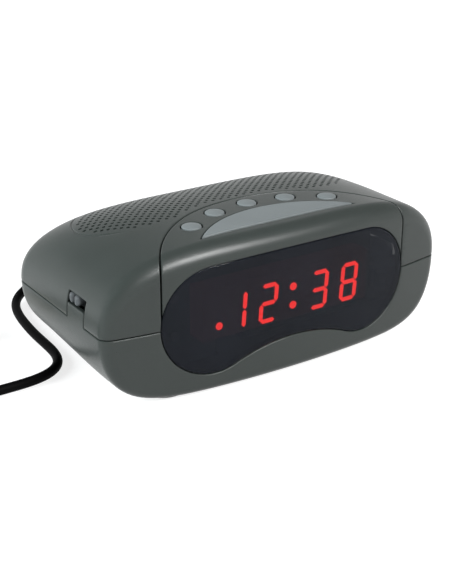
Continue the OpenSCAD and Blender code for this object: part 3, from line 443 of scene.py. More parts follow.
def startSheet(us, vs):
    # Triangles over a grid of parameters
    uv = np.stack(np.meshgrid(us, vs, indexing="ij"), axis=-1).reshape(-1, 2)
    quads = gridFaces(len(us), len(vs))
    tris = np.concatenate([quads[:, [0, 2, 1]], quads[:, [0, 3, 2]]])
    return uv, tris


def cutSheet(uv, tris, distance, keepBoth=False, level=0.0):
    # Splits the triangles where distance crosses level, and keeps the side above it, or both
    above = distance(uv) >= level
    count = above[tris].sum(axis=1)
    parts = [tris[count == 3]]
    if keepBoth:
        parts.append(tris[count == 0])
    crossed = (count == 1) | (count == 2)
    mixed = tris[crossed]
    if len(mixed) == 0:
        return uv, np.concatenate(parts)
    lone = count[crossed] == 1
    odd = np.argmax(above[mixed] == lone[:, None], axis=1)
    turned = np.take_along_axis(mixed, (odd[:, None] + np.arange(3)) % 3, axis=1)
    edges = np.sort(np.concatenate([turned[:, [0, 1]], turned[:, [0, 2]]]), axis=1)
    unique, back = np.unique(edges, axis=0, return_inverse=True)
    back = back.reshape(-1)
    low = np.zeros(len(unique))
    high = np.ones(len(unique))
    a, b = uv[unique[:, 0]], uv[unique[:, 1]]
    first = above[unique[:, 0]]
    # Each crossed edge is halved towards its crossing
    for _ in range(14):
        mid = (low + high) / 2
        same = (distance(a + (b - a) * mid[:, None]) >= level) == first
        low = np.where(same, mid, low)
        high = np.where(same, high, mid)
    fresh = a + (b - a) * ((low + high) / 2)[:, None]
    first, second = np.split(back + len(uv), 2)
    tip = np.stack([turned[:, 0], first, second], axis=1)
    base = np.concatenate([np.stack([first, turned[:, 1], turned[:, 2]], axis=1),
                           np.stack([first, turned[:, 2], second], axis=1)])
    twice = np.concatenate([lone, lone])
    parts.append(tip if keepBoth else tip[lone])
    parts.append(base if keepBoth else base[~twice])
    return np.concatenate([uv, fresh]), np.concatenate(parts)


def weld(points, faces, digits=4):
    # Joins points that coincide, drops faces that collapse and points that nothing uses
    _, first, back = np.unique(
        points.round(digits), axis=0, return_index=True, return_inverse=True)
    faces = back.reshape(-1)[faces]
    faces = faces[(faces != np.roll(faces, 1, axis=1)).all(axis=1)]
    used, packed = np.unique(faces, return_inverse=True)
    return first[used], packed.reshape(faces.shape)


def thicken(outer, inner, tris):
    # Closed wall between an outer and an inner copy of a sheet
    n = len(outer)
    edges = np.concatenate([tris[:, [0, 1]], tris[:, [1, 2]], tris[:, [2, 0]]])
    key = np.sort(edges, axis=1)
    _, index, counts = np.unique(key, axis=0, return_index=True, return_counts=True)
    rim = edges[index[counts == 1]]
    quads = np.stack([rim[:, 0], rim[:, 0] + n, rim[:, 1] + n, rim[:, 1]], axis=1)
    return np.concatenate([outer, inner]), [tris, tris[:, ::-1] + n, quads]


def sheetSolid(surface, us, vs, outlines, holes, roll, wall, raised=0.0, shape=None, away=1.0,
               creases=()):
    # Part of a surface inside all outlines and outside all holes. Its edges roll over by a quarter
    # circle, creases add points along a line, and a copy set in by the wall closes it
    uv, tris = startSheet(us, vs)
    if away < 0:
        tris = tris[:, ::-1]
    for outline in outlines:
        uv, tris = cutSheet(uv, tris, lambda p: outline(surface(p)))
        for level in (roll * 0.12, roll * 0.45, roll):
            uv, tris = cutSheet(uv, tris, lambda p: outline(surface(p)), True, level)
    for line, levels in creases:
        for level in levels:
            uv, tris = cutSheet(uv, tris, lambda p: line(surface(p)), True, level)
    for hole in holes:
        uv, tris = cutSheet(uv, tris, lambda p: hole(surface(p)))
    keep, tris = weld(surface(uv), tris)
    uv = uv[keep]
    points = surface(uv)
    normal = surfaceNormal(surface, uv) * away
    reach = np.min([np.clip(outline(points), 0, roll) for outline in outlines], axis=0)
    lift = raised - roll + np.sqrt(np.maximum(0, roll ** 2 - (roll - reach) ** 2))
    if shape is not None:
        lift = lift + shape(points)
    return thicken(points + normal * lift[:, None], points - normal * (wall - raised), tris)


def turnedSolid(profile, centre, axis, steps, ripple=None):
    # Profile of (radius, height) turned about an axis; ripple adds to the radius by the angle
    profile = np.array(profile, dtype=float)
    angle = np.linspace(0, 2 * math.pi, steps, endpoint=False)
    r = np.broadcast_to(profile[:, :1], (len(profile), steps))
    h = np.broadcast_to(profile[:, 1:2], (len(profile), steps))
    if ripple is not None:
        r = r + ripple(np.broadcast_to(angle, r.shape), profile)
    a, b = r * np.cos(angle), r * np.sin(angle)
    order = {"z": (a, b, h), "y": (b, h, a)}[axis]
    return loftSolid(np.stack(order, axis=-1) + np.array(centre))


# Radius at which turned profiles end beside their axis
core = 0.02


def roundBox(halfA, halfB, corner, count=96):
    # Rounded rectangle as pairs, evenly spaced along it: its corners are quarter circles
    turn = np.radians(np.arange(4)[:, None] * 90 + np.linspace(0, 90, 24)[None, :])
    a = (halfA - corner) * np.array([1, -1, -1, 1])[:, None] + corner * np.cos(turn)
    b = (halfB - corner) * np.array([1, 1, -1, -1])[:, None] + corner * np.sin(turn)
    line = np.stack([a, b], axis=-1).reshape(-1, 2)
    line = np.concatenate([line, line[:1]])
    along = np.concatenate([[0], np.cumsum(np.linalg.norm(np.diff(line, axis=0), axis=1))])
    places = np.arange(count) / count * along[-1]
    return np.stack([np.interp(places, along, line[:, i]) for i in range(2)], axis=1)


def joinSolids(solids):
    # Several solids as one set of points and faces
    offsets = np.cumsum([0] + [len(points) for points, _ in solids])
    points = np.concatenate([points for points, _ in solids])
    return points, [part + start for start, (_, faces) in zip(offsets, solids) for part in faces]


# Mains lead: from the strain relief round the left side of the case, then wound into a coil
# whose last turn ends at the plug
lead = {
    "diameter": 5.3, "exit": (-50.0, 56.0, 19.0), "hole": 4.8, "clear": 0.2, "sides": 20,
    "route": [(-51, 98, 17.6), (-55, 106, 14.5), (-63, 111, 10.5), (-73, 112, 7), (-82, 108.5, 4.4),
              (-88.5, 101, 3.2), (-92.5, 91, 2.9), (-95, 80, 2.9), (-96.5, 69, 2.9),
              (-97.7, 57, 2.9), (-98.2, 45, 2.9), (-98.5, 34, 2.9), (-99.5, 24, 2.9),
              (-103, 14.5, 2.9), (-109.5, 8, 2.9), (-118, 4.6, 2.9), (-129, 3, 3.1)],
    "approach": (-142.0, -150.0, -155.5, -175.0), "cubicSteps": 6, "step": 1.5, "ease": 8,
    "coilCentre": (-200.0, 41.075), "coilRadius": 39.075, "pitch": 6.2, "rounds": 6.5,
    "turnSteps": 48, "low": 3.65, "layer": 5.9, "plug": (-174.0, 80.15, 6.95), "tailSteps": 15,
}
# Strain relief: a collar that sits in the wall, and a taper with rings along it
relief = {
    "length": 28.0, "radius": 5.0, "start": 0.3, "taperFrom": 0.1, "lip": 0.8, "lipRound": 0.5,
    "rings": 7, "ringFrom": 0.12, "ringTo": 0.92, "ringDeep": 0.75, "rows": 85, "sides": 40,
    "collar": [(0.01, -4.5), (6.5, -4.5), (6.5, -2.7), (4.6, -2.7), (4.6, 0.2), (5.0, 0.25)],
}
# Plug: half widths along its length, half heights by the share of its length, and grip waves
plug = {
    "length": 36.0, "along": (0, 4, 10, 25, 34.5, 36), "halves": (5, 5.6, 8, 16, 17.5, 17),
    "soften": 4, "shares": (0, 0.15, 0.4, 0.96, 1), "heights": (4.2, 5.2, 6.85, 6.85, 6.4),
    "grip": 0.35, "gripStep": 3.2, "gripFrom": 0.3, "gripTo": 0.68, "square": 0.45,
    "sections": 60, "sides": 72,
}


def smoothPath(points, steps):
    # Curve through all points: each stretch is a cubic set by its ends and the points beyond them
    p = np.concatenate([points[:1], points, points[-1:]])
    a, b, c, d = (p[i:len(p) - 3 + i, None, :] for i in range(4))
    s = (np.arange(steps) / steps)[None, :, None]
    curve = 0.5 * (2 * b + (c - a) * s + (2 * a - 5 * b + 4 * c - d) * s ** 2
                   + (3 * b - a - 3 * c + d) * s ** 3)
    return np.concatenate([curve.reshape(-1, 3), points[-1:]])


def easedPath(points, step, reach):
    # The same line with points a step apart, each then the weighted mean of its neighbours within
    # reach steps. The mean comes in gradually from the start, and beyond its ends the line goes on
    # as its own half turn about them
    along = np.concatenate([[0], np.cumsum(np.linalg.norm(np.diff(points, axis=0), axis=1))])
    places = np.linspace(0, along[-1], int(along[-1] / step) + 1)
    even = np.stack([np.interp(places, along, points[:, i]) for i in range(3)], axis=1)
    before = 2 * even[:1] - even[reach:0:-1]
    after = 2 * even[-1:] - even[-2:-reach - 2:-1]
    longer = np.concatenate([before, even, after])
    weight = np.hanning(2 * reach + 3)[1:-1]
    mean = [np.convolve(longer[:, i], weight / weight.sum(), "valid") for i in range(3)]
    share = smoothStep(0, 2 * reach, np.arange(len(even)))[:, None]
    return even + (np.stack(mean, axis=1) - even) * share


def leadPath():
    # Free stretch, then turns that close in and open out a layer higher, then the run to the plug
    f = lead
    x, y, z = f["exit"]
    start = y + relief["length"] + f["clear"]
    low, rounds = f["low"], f["rounds"]
    middleX, middleY = f["coilCentre"]
    lane = middleY - f["coilRadius"]
    free = np.array([(x, start, z), (x, start + f["diameter"], z)] + f["route"]
                    + [(place, lane, low) for place in f["approach"]], dtype=float)
    turn = np.arange(0, rounds * f["turnSteps"] + 1) / f["turnSteps"]
    radius = f["coilRadius"] - f["pitch"] * np.minimum(turn, rounds - turn)
    angle = np.radians(-90 - 360 * turn)
    climb = smoothStep(rounds / 2 - 0.25, rounds / 2 + 0.25, turn)
    coil = np.stack([middleX + radius * np.cos(angle), middleY + radius * np.sin(angle),
                     low + f["layer"] * climb], axis=1)
    end = np.array(f["plug"]) - (f["clear"], 0, 0)
    share = np.linspace(0, 1, f["tailSteps"])
    tail = coil[-1] + (end - coil[-1]) * np.stack([share, share, smoothStep(0, 1, share)], axis=1)
    curve = smoothPath(np.concatenate([free, coil[:1]]), f["cubicSteps"])
    eased = easedPath(curve, f["step"], f["ease"])
    return np.concatenate([eased[:-1], coil, tail[1:]])


def tubeSolid(path, radius, sides):
    # Circle of the lead's radius carried square to the path, with the side direction kept level
    along = np.gradient(path, axis=0)
    along /= np.linalg.norm(along, axis=1, keepdims=True)
    side = np.cross(along, (0, 0, 1.0))
    side /= np.linalg.norm(side, axis=1, keepdims=True)
    up = np.cross(side, along)
    angle = np.linspace(0, 2 * math.pi, sides, endpoint=False)
    c, s = np.cos(angle)[None, :, None], np.sin(angle)[None, :, None]
    ring = c * side[:, None] + s * up[:, None]
    return loftSolid(path[:, None] + radius * ring)


def makeLead():
    path = leadPath()
    solid = tubeSolid(path, lead["diameter"] / 2, lead["sides"])
    length = np.linalg.norm(np.diff(path, axis=0), axis=1).sum() * mm
    piece = addPiece("mains_lead", solid, "case", "lead_sheath", ("mains_cord", "cord_coil"))
    print("lead length in metres:", round(float(length), 3))
    return piece, path, float(length)


def makeRelief():
    # Radius that falls along the taper, less a wave for the rings, turned about the lead
    f = relief
    t = np.linspace(0, 1, f["rows"])
    end = lead["diameter"] / 2 + f["lip"]
    fall = np.clip((t - f["taperFrom"]) / (1 - f["taperFrom"]), 0, 1)
    r = f["radius"] + (end - f["radius"]) * fall
    wave = np.cos(2 * math.pi * f["rings"] * (t - f["ringFrom"]) / (f["ringTo"] - f["ringFrom"]))
    ringed = (t > f["ringFrom"]) & (t < f["ringTo"])
    r = r - f["ringDeep"] * np.maximum(0, wave) ** 0.6 * ringed
    r = r - f["lipRound"] * smoothStep(0.97, 1, t)
    taper = np.stack([r, f["start"] + t * (f["length"] - f["start"])], axis=1)
    profile = np.concatenate([f["collar"], taper, [(f["collar"][0][0], f["length"])]])
    solid = turnedSolid(profile, lead["exit"], "y", f["sides"])
    return addPiece("lead_relief", solid, "case", "lead_sheath", ("cord_grip",))


def makePlug():
    # Squarish sections whose half width grows from the lead to the pins, with waves on the sides
    f = plug
    t = np.linspace(0, 1, f["sections"])
    along = t * f["length"]
    count = 2 * f["soften"] + 1
    across = np.pad(np.interp(along, f["along"], f["halves"]), f["soften"], mode="edge")
    across = np.convolve(across, np.ones(count) / count, mode="valid")
    across = np.minimum(across, max(f["halves"]))
    grip = f["grip"] * np.maximum(0, np.sin(along * 2 * math.pi / f["gripStep"]))
    across = across - grip * ((t > f["gripFrom"]) & (t < f["gripTo"]))
    high = np.interp(t, f["shares"], f["heights"])
    angle = np.linspace(0, 2 * math.pi, f["sides"], endpoint=False)
    c, s = np.cos(angle), np.sin(angle)
    y = np.sign(c) * np.abs(c) ** f["square"] * across[:, None]
    z = np.sign(s) * np.abs(s) ** f["square"] * high[:, None]
    x = np.broadcast_to(along[:, None], y.shape)
    solid = loftSolid(np.stack([x, y, z], axis=-1) + np.array(lead["plug"]))
    return addPiece("lead_plug", solid, "case", "lead_sheath", ("plug_body",), sharp=50)


leadPiece, leadLine, leadLength = makeLead()
reliefPiece = makeRelief()
plugPiece = makePlug()
print("lead made")


# Window: two round ends, a shallow crown above and an arch below
window = {
    "half": 47.7, "endRadius": 29.3, "mid": 40.2, "crown": 1.2, "arch": 10.1, "set": 0.2,
    "gap": 0.3, "thick": 2.4, "roll": 0.7, "reach": 25.0,
    "gridX": (-80, 80, 152), "gridZ": (8, 74, 64),
    "flange": 1.6, "flangeLap": 1.0, "flangeGap": 0.2, "flangeRoll": 0.2, "flangeThick": 0.8,
}
crownRise = window["endRadius"] + window["crown"]
archRise = window["endRadius"] - window["arch"]


def touchRadius(rise, change):
    # Radius of the circle that touches both end circles and crosses the middle at this rise
    return (window["half"] ** 2 + rise ** 2 - window["endRadius"] ** 2) / (2 * change)


crownRadius = touchRadius(crownRise, window["crown"])
archRadius = touchRadius(archRise, window["arch"])
crownCentre = window["mid"] + crownRise - crownRadius
archCentre = window["mid"] - archRise - archRadius


def onlyWhere(mask, distance):
    # The distance where it counts, and far off everywhere else
    return np.where(mask, distance, 100.0)


def windowDistance(p):
    # Distance outside the window's outline from the front: its end circles, else crown and arch
    f = window
    x, z = np.abs(p[:, 0]), p[:, 2]
    turn = np.arctan2(z - f["mid"], x - f["half"])
    crownTurn = math.atan2(f["mid"] - crownCentre, f["half"])
    archTurn = math.atan2(f["mid"] - archCentre, f["half"]) - math.pi
    ends = np.hypot(x - f["half"], z - f["mid"]) - f["endRadius"]
    above = np.hypot(x, z - crownCentre) - crownRadius
    below = archRadius - np.hypot(x, z - archCentre)
    d = np.where((turn > archTurn) & (turn < crownTurn), ends, np.maximum(above, below))
    return onlyWhere(p[:, 1] < frontY + f["reach"], d)


# Control panel, its buttons and the snooze bar share one centre in plan
panel = {"centre": -86.0, "radius": 84.0, "gap": 0.7}
keys = {"arc": 74.8, "step": 17.6, "diameter": 10.4, "proud": 1.0, "gap": 0.7, "crown": 0.5,
        "roll": 0.8, "skirt": 0.9, "collar": 1.0, "collarThick": 1.2,
        "names": ("alarm_button", "time_button", "sleep_button", "hour_button", "minute_button")}
snooze = {"radius": 65.0, "front": -41.5, "proud": 0.6, "thick": 2.0, "gap": 0.6, "roll": 0.8}
keyTurns = [math.radians(i * keys["step"]) for i in range(-2, 3)]
keyPlaces = [(keys["arc"] * math.sin(turn), panel["centre"] + keys["arc"] * math.cos(turn))
             for turn in keyTurns]


def panelRadius(p):
    return np.hypot(p[:, 0], p[:, 1] - panel["centre"])


def snoozeDistance(p):
    # Distance outside the half-moon: its circle and its straight front edge
    return np.maximum(panelRadius(p) - snooze["radius"], snooze["front"] - p[:, 1])


def boxDistance(a, b, halfA, halfB, corner):
    # Distance outside a rounded rectangle
    qa = np.abs(a) - halfA + corner
    qb = np.abs(b) - halfB + corner
    outside = np.hypot(np.maximum(qa, 0), np.maximum(qb, 0))
    return outside + np.minimum(np.maximum(qa, qb), 0) - corner


# Openings in the sides, past wallX from the middle: function switch on the left, wheels and band
# switch on the right
sides = {
    "wallX": 60.0, "wheelCorner": 1.0, "bandCorner": 0.8,
    "switchY": -16.8, "switchLow": 48.0, "switchHigh": 54.0, "switchLength": 18.5,
    "wheelsY": (-1.5, 33.5), "wheelHalf": 13.04, "wheelLow": 28.7, "wheelHigh": 35.5,
    "bandY": -29.0, "bandZ": 22.1, "bandLength": 10.0, "bandHeight": 4.4,
}


def switchNotch(p):
    # Notch in the upper shell that the lower shell's tab fills from below
    f = sides
    d = np.maximum(np.abs(p[:, 1] - f["switchY"]) - f["switchLength"] / 2,
                   p[:, 2] - f["switchHigh"])
    return onlyWhere(p[:, 0] < 0, d)


def lowerEdge(p):
    # Inside of the lower shell: under the seam, or in the tab
    f = sides
    under = seamZ - shell["gap"] / 2 - p[:, 2]
    tab = np.minimum(f["switchLength"] / 2 - shell["gap"] - np.abs(p[:, 1] - f["switchY"]),
                     f["switchLow"] - p[:, 2])
    return np.where(p[:, 0] < -f["wallX"], np.maximum(under, tab), under)


def wheelSlot(y):
    f = sides
    mid = (f["wheelLow"] + f["wheelHigh"]) / 2
    half = (f["wheelHigh"] - f["wheelLow"]) / 2
    return lambda p: onlyWhere(p[:, 0] > f["wallX"], boxDistance(
        p[:, 1] - y, p[:, 2] - mid, f["wheelHalf"], half, f["wheelCorner"]))


def bandSlot(p):
    f = sides
    d = boxDistance(p[:, 1] - f["bandY"], p[:, 2] - f["bandZ"], f["bandLength"] / 2,
                    f["bandHeight"] / 2, f["bandCorner"])
    return onlyWhere(p[:, 0] > f["wallX"], d)


# Plinth under the case, with the battery door's channel, the battery bay and the screw wells
plinth = {
    "half": 82.0, "front": -49.0, "back": 42.0, "corner": 14.0, "roll": 0.9, "rise": 4.5,
    "lap": 1.5, "screws": ((-88.0, -37.0), (86.0, -40.5), (-84.0, 41.0), (60.0, 47.5)),
    "well": 5.8, "wellTop": 20.0, "wellUp": 0.4, "wellRound": 0.6, "head": 11.0, "post": 8.0,
    "cap": 2.0,
    "door": (-82.0, -28.0, -27.0, 3.0), "doorGap": 0.3, "doorTop": 3.6, "tongue": 1.7,
    "bayIn": (2.0, 1.2), "bayCorner": 1.0, "bayLow": 3.4, "bayHigh": 17.4, "bayWall": 1.1,
}


def plinthDistance(p):
    f = plinth
    mid = (f["front"] + f["back"]) / 2
    half = (f["back"] - f["front"]) / 2
    return boxDistance(p[:, 0], p[:, 1] - mid, f["half"], half, f["corner"])


def doorDistance(p):
    x0, x1, y0, y1 = plinth["door"]
    g = plinth["doorGap"]
    return np.maximum(p[:, 0] - x1 - g, np.abs(p[:, 1] - (y0 + y1) / 2) - (y1 - y0) / 2 - g)


def wellDistance(p):
    away = np.min([np.hypot(p[:, 0] - x, p[:, 1] - y) for x, y in plinth["screws"]], axis=0)
    return onlyWhere(p[:, 2] < plinth["wellTop"], away - plinth["well"] / 2)


# Sound holes over the loudspeaker: a staggered lattice in a field with round ends, and its groove
grille = {"hole": 2.1, "step": 2.5, "half": 55.0, "endRadius": 28.0, "centre": 20.0, "edge": 4.3,
          "groove": 30.4, "grooveWidth": 1.3, "grooveDeep": 0.5, "fadeFrom": 6.0, "fadeTo": -8.0}


def fieldRadius(p):
    # Distance from the field's middle line, which its round ends are drawn about
    return np.hypot(np.maximum(np.abs(p[:, 0]) - grille["half"], 0), p[:, 1] - grille["centre"])


def grilleHoles(p):
    # Distance outside the nearest hole, on one of two square lattices set half a pitch apart
    f = grille
    pitch = 2 * f["step"]
    place = p[:, :2] - np.array([0, f["centre"]])
    even = np.round(place / pitch) * pitch
    odd = (np.floor(place / pitch) + 0.5) * pitch
    nearEven = np.hypot(*(place - even).T) < np.hypot(*(place - odd).T)
    middle = np.where(nearEven[:, None], even, odd)
    away = np.hypot(*(place - middle).T) - f["hole"] / 2
    middle = middle + np.array([0, f["centre"]])
    inField = fieldRadius(middle) <= f["endRadius"]
    clear = panelRadius(middle) >= panel["radius"] + f["edge"]
    return onlyWhere(inField & clear & (p[:, 2] > seamZ), away)


def grooveDepth(p):
    # V-shaped groove at one distance round the field, fading out towards the front
    f = grille
    share = 1 - np.abs(fieldRadius(p) - f["groove"]) / (f["grooveWidth"] / 2)
    fade = smoothStep(f["fadeTo"], f["fadeFrom"], p[:, 1])
    return -f["grooveDeep"] * np.maximum(0, share) * fade


def columns(across, down):
    # Values of u round the upper half: even steps over the top and on each side
    flat = np.linspace(-1, 1, across)
    side = np.linspace(1, 2, down)[1:]
    return np.concatenate([-side[::-1], flat, side])


def aboveSeam(p):
    return p[:, 2] - seamZ - shell["gap"] / 2


def roundWindow(p):
    return windowDistance(p) - window["gap"]


def makeUpperShell():
    vs = closedDepths((0.62, 22), [(0, 40, 1.7), (40, 108, 0.88), (108, 112, 1.5)], (0.98, 9))
    hole = panel["radius"] + panel["gap"]
    outlines = [aboveSeam, lambda p: onlyWhere(p[:, 2] > seamZ, panelRadius(p) - hole),
                roundWindow, switchNotch]
    rows = grille["groove"] + grille["grooveWidth"] / 2 * np.array([-1, 0, 1])
    solid = sheetSolid(
        casePoint, columns(186, 16), vs, outlines, [grilleHoles], shell["edgeRound"],
        shell["wall"], shape=grooveDepth, creases=[(fieldRadius, rows)])
    addPiece("upper_shell", solid, "case", "case_plastic", ("upper_case",))


def leadHole(p):
    x, y, z = lead["exit"]
    return onlyWhere(p[:, 1] > y / 2, np.hypot(p[:, 0] - x, p[:, 2] - z) - lead["hole"])


def plinthHole(p):
    # The plinth laps the edge of this hole in the shell
    return onlyWhere(p[:, 2] < seamZ / 2, plinthDistance(p) + plinth["lap"])


def doorHole(p):
    # Room at the left for the door and its tongues to slide out
    inWay = (p[:, 2] < plinth["doorTop"]) & (p[:, 0] < -sides["wallX"])
    return onlyWhere(inWay, doorDistance(p) - plinth["tongue"])


def makeLowerShell():
    right, left = np.linspace(2, 3, 34)[:-1], np.linspace(5, 6, 34)[1:]
    tab = np.linspace(6, 6.3, 9)[1:]
    us = np.concatenate([right, np.linspace(3, 5, 110), left, tab])
    vs = closedDepths((0.62, 32), [(0, 112, 1.4)], (0.98, 14))
    outlines = [lowerEdge, roundWindow] + [wheelSlot(y) for y in sides["wheelsY"]] + [bandSlot]
    holes = [leadHole, plinthHole, wellDistance, doorHole]
    solid = sheetSolid(
        casePoint, us, vs, outlines, holes, shell["edgeRound"], shell["wall"])
    addPiece("lower_shell", solid, "case", "case_plastic", ("lower_case",))


def flatPoint(z):
    return lambda uv: np.stack([uv[:, 0], uv[:, 1], np.full(len(uv), z)], axis=1)


def makePlinth():
    # Flat sheet that the case rests on, cut for the door and the screws
    f = plinth
    xs = np.linspace(-f["half"] - 1, f["half"] + 1, 130)
    ys = np.linspace(f["front"] - 1, f["back"] + 1, 74)
    outlines = [lambda p: -plinthDistance(p), doorDistance, wellDistance]
    solid = sheetSolid(flatPoint(baseZ), xs, ys, outlines, [], f["roll"], f["rise"], away=-1.0)
    addPiece("plinth", solid, "case", "case_plastic")


def makePanel():
    vs = closedDepths((0.45, 28), [(0, 56, 1.0)])
    outlines = [lambda p: panel["radius"] - panelRadius(p), aboveSeam, roundWindow,
                lambda p: snoozeDistance(p) - snooze["gap"]]
    hole = keys["diameter"] / 2 + keys["gap"]
    outlines += [lambda p, x=x, y=y: np.hypot(p[:, 0] - x, p[:, 1] - y) - hole
                 for x, y in keyPlaces]
    solid = sheetSolid(
        casePoint, columns(150, 30), vs, outlines, [], shell["edgeRound"], shell["wall"])
    addPiece("top_panel", solid, "case", "case_plastic", ("control_panel",))


def makeSnooze():
    f = snooze
    solid = sheetSolid(
        casePoint, np.linspace(-0.8, 0.8, 150), spacedDepths([(10, 40, 0.8)]),
        [lambda p: f["radius"] - panelRadius(p), lambda p: p[:, 1] - f["front"]], [],
        f["roll"], f["thick"] + f["proud"], f["proud"])
    addPiece("snooze_key", solid, "snooze_bar", "key_plastic", ("snooze_bar",))


def makeButtons():
    # Domed top, rolled rim, skirt and collar, turned about the button's own axis
    f = keys
    r, roll = f["diameter"] / 2, f["roll"]
    wide = r + f["collar"]
    for name, (x, y) in zip(f["names"], keyPlaces):
        roof = float(roofHeight(x, y))
        edge = roof + f["proud"] - f["crown"]
        turn = np.radians(np.linspace(0, 80, 7))
        rim = np.stack([r - roll + roll * np.cos(turn), edge - roll + roll * np.sin(turn)], axis=1)
        top = np.linspace(r - roll, core, 14)[1:]
        dome = np.stack([top, edge + f["crown"] * (1 - (top / (r - roll)) ** 2)], axis=1)
        low = roof - shell["wall"] - f["skirt"]
        foot = low - f["collarThick"]
        skirt = [(core, foot), (wide, foot), (wide, low), (r, low)]
        solid = turnedSolid(np.concatenate([skirt, rim, dome]), (x, y, 0), "z", 64)
        addPiece(name.replace("_button", "_key"), solid, name, "key_plastic", (name,))


def makeWindow():
    # Bowed front like the case's, cut to the window's outline, with a flange behind the case's edge
    f = window
    xs, zs = np.linspace(*f["gridX"]), np.linspace(*f["gridZ"])

    def windowPoint(uv):
        return np.stack([uv[:, 0], frontY + bow(uv[:, 0]) + f["set"], uv[:, 1]], axis=1)

    def flangePoint(uv):
        return windowPoint(uv) + np.array([0, f["thick"] + f["flangeGap"], 0])

    pane = sheetSolid(
        windowPoint, xs, zs, [lambda p: -windowDistance(p)], [], f["roll"], f["thick"])
    flange = sheetSolid(
        flangePoint, xs, zs, [lambda p: f["flange"] - windowDistance(p)],
        [lambda p: windowDistance(p) + f["flangeLap"]], f["flangeRoll"], f["flangeThick"])
    solid = joinSolids([pane, flange])
    addPiece("smoked_window", solid, "case", "smoked_window", ("display_lens",))


# Slide knobs: two lobes with a finger groove between them, on a stem that goes into the switch
slides = {"roll": 1.3, "groove": 2.3, "grooveHalf": 1.0, "crown": 0.7, "stem": 0.3, "stemIn": 2.6,
          "corner": 0.9, "rings": 22}


def makeSlide(name, node, out, finish):
    # Rings from the middle of the face out to its outline, down the sides, then in to the stem
    f = slides
    low, high = (np.array(corner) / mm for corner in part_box(node))
    half, middle = (high - low) / 2, (high + low) / 2
    outline = roundBox(half[1], half[2], half[2] * f["corner"])
    face = high[0] if out > 0 else low[0]
    share = np.concatenate([[0.01], np.linspace(0.08, 1, f["rings"])])
    flat = share[:, None, None] * outline
    a = flat[:, :, 0]
    reach = np.minimum((1 - share) * half[2], f["roll"])[:, None]
    drop = f["roll"] - np.sqrt(f["roll"] ** 2 - (f["roll"] - reach) ** 2)
    lobe = np.abs(a) - half[1] / 2
    drop = drop + f["crown"] * (lobe / (half[1] / 2)) ** 2
    drop = drop + f["groove"] * np.exp(-(a / f["grooveHalf"]) ** 2)
    deep = half[0] * 2 - f["stemIn"]
    back = np.array([[1.0, deep], [f["stem"], deep], [f["stem"], deep + f["stemIn"]]])
    flat = np.concatenate([flat, back[:, :1, None] * outline])
    drop = np.concatenate([drop, np.broadcast_to(back[:, 1:], (3, len(outline)))])
    rings = np.concatenate([(face - out * drop)[:, :, None], middle[1:] + flat], axis=2)
    solid = loftSolid(rings if out < 0 else rings[:, ::-1])
    addPiece(name, solid, node, finish, (node,), sharp=50)


# Edge wheels: a knurled rim with rounded edges, a hub and a shaft down into the control
wheels = {"thick": 5.0, "ridges": 90, "deep": 0.45, "edge": 0.7, "hub": 3.5, "hubStep": 1.0,
          "shaft": 2.0, "rim": 3.0, "dish": 0.6, "boss": 4.4}


def makeWheel(name, node):
    # Profile turned about the upright axis; a cosine in the angle cuts the ridges into the rim
    f = wheels
    low, high = (np.array(corner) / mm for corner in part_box(node))
    r = (high[0] - low[0]) / 2
    top, under = high[2], high[2] - f["thick"]
    e, dish = f["edge"], f["dish"]
    hub, shaft, boss = f["hub"], f["shaft"], f["boss"]
    step, rim = under - f["hubStep"], r - f["rim"]
    profile = [(core, low[2]), (shaft, low[2]), (shaft, step), (hub, step), (hub, under),
               (rim, under), (r - e, under), (r - 0.3 * e, under + 0.3 * e), (r, under + e),
               (r, top - e), (r - 0.3 * e, top - 0.3 * e), (r - e, top), (rim, top),
               (rim - dish, top - dish), (boss + dish, top - dish), (boss, top), (core, top)]

    def knurl(angle, rows):
        cut = np.where(rows[:, 0] > r - 0.4 * e, f["deep"], 0.0)[:, None]
        return -cut * (0.5 + 0.5 * np.cos(f["ridges"] * angle))

    centre = ((low[0] + high[0]) / 2, (low[1] + high[1]) / 2, 0)
    solid = turnedSolid(profile, centre, "z", f["ridges"] * 6, knurl)
    addPiece(name, solid, node, "dark_plastic", (node,), sharp=40)


def keelHeight(x, y):
    # Outer height of the underside over a plan point behind the bow
    v = np.clip(y - frontY, 0, shell["depth"])
    share = np.minimum(1, np.abs(x) / halfWidth(v))
    return seamZ - keelDrop(v) * (1 - share ** keelAcross(v)) ** (1 / shell["keelUp"])


def makeUnderside():
    # Walls and roof of the battery bay, and the tubes that the case screws go up in
    f = plinth
    x0, x1, y0, y1 = f["door"]
    halfX, halfY = (x1 - x0) / 2 - f["bayIn"][0], (y1 - y0) / 2 - f["bayIn"][1]
    wall, low, high = f["bayWall"], f["bayLow"], f["bayHigh"]
    inner = roundBox(halfX, halfY, f["bayCorner"])
    outer = roundBox(halfX + wall, halfY + wall, 2 * f["bayCorner"])
    steps = ((0.01 * inner, high), (inner, high), (inner, low), (outer, low), (outer, high + wall),
             (0.01 * outer, high + wall))
    middle = np.array([(x0 + x1) / 2, (y0 + y1) / 2])
    rings = np.stack([np.concatenate([ring + middle, np.full((len(ring), 1), z)], axis=1)
                      for ring, z in steps])
    solids = [loftSolid(rings)]
    turn = np.linspace(0, 2 * math.pi, 16)
    r, post, head = f["well"] / 2, f["post"] / 2, f["head"]
    for x, y in f["screws"]:
        around = keelHeight(x + r * np.cos(turn), y + r * np.sin(turn))
        foot = max(float(around.max()), baseZ) + f["wellUp"]
        tube = [(core, head + f["cap"]), (post, head + f["cap"]), (post, foot + f["wellRound"]),
                (r, foot), (r, head), (core, head)]
        solids.append(turnedSolid(tube, (x, y, 0), "z", 32))
    solid = joinSolids(solids)
    addPiece("underside_wells", solid, "case", "case_plastic")


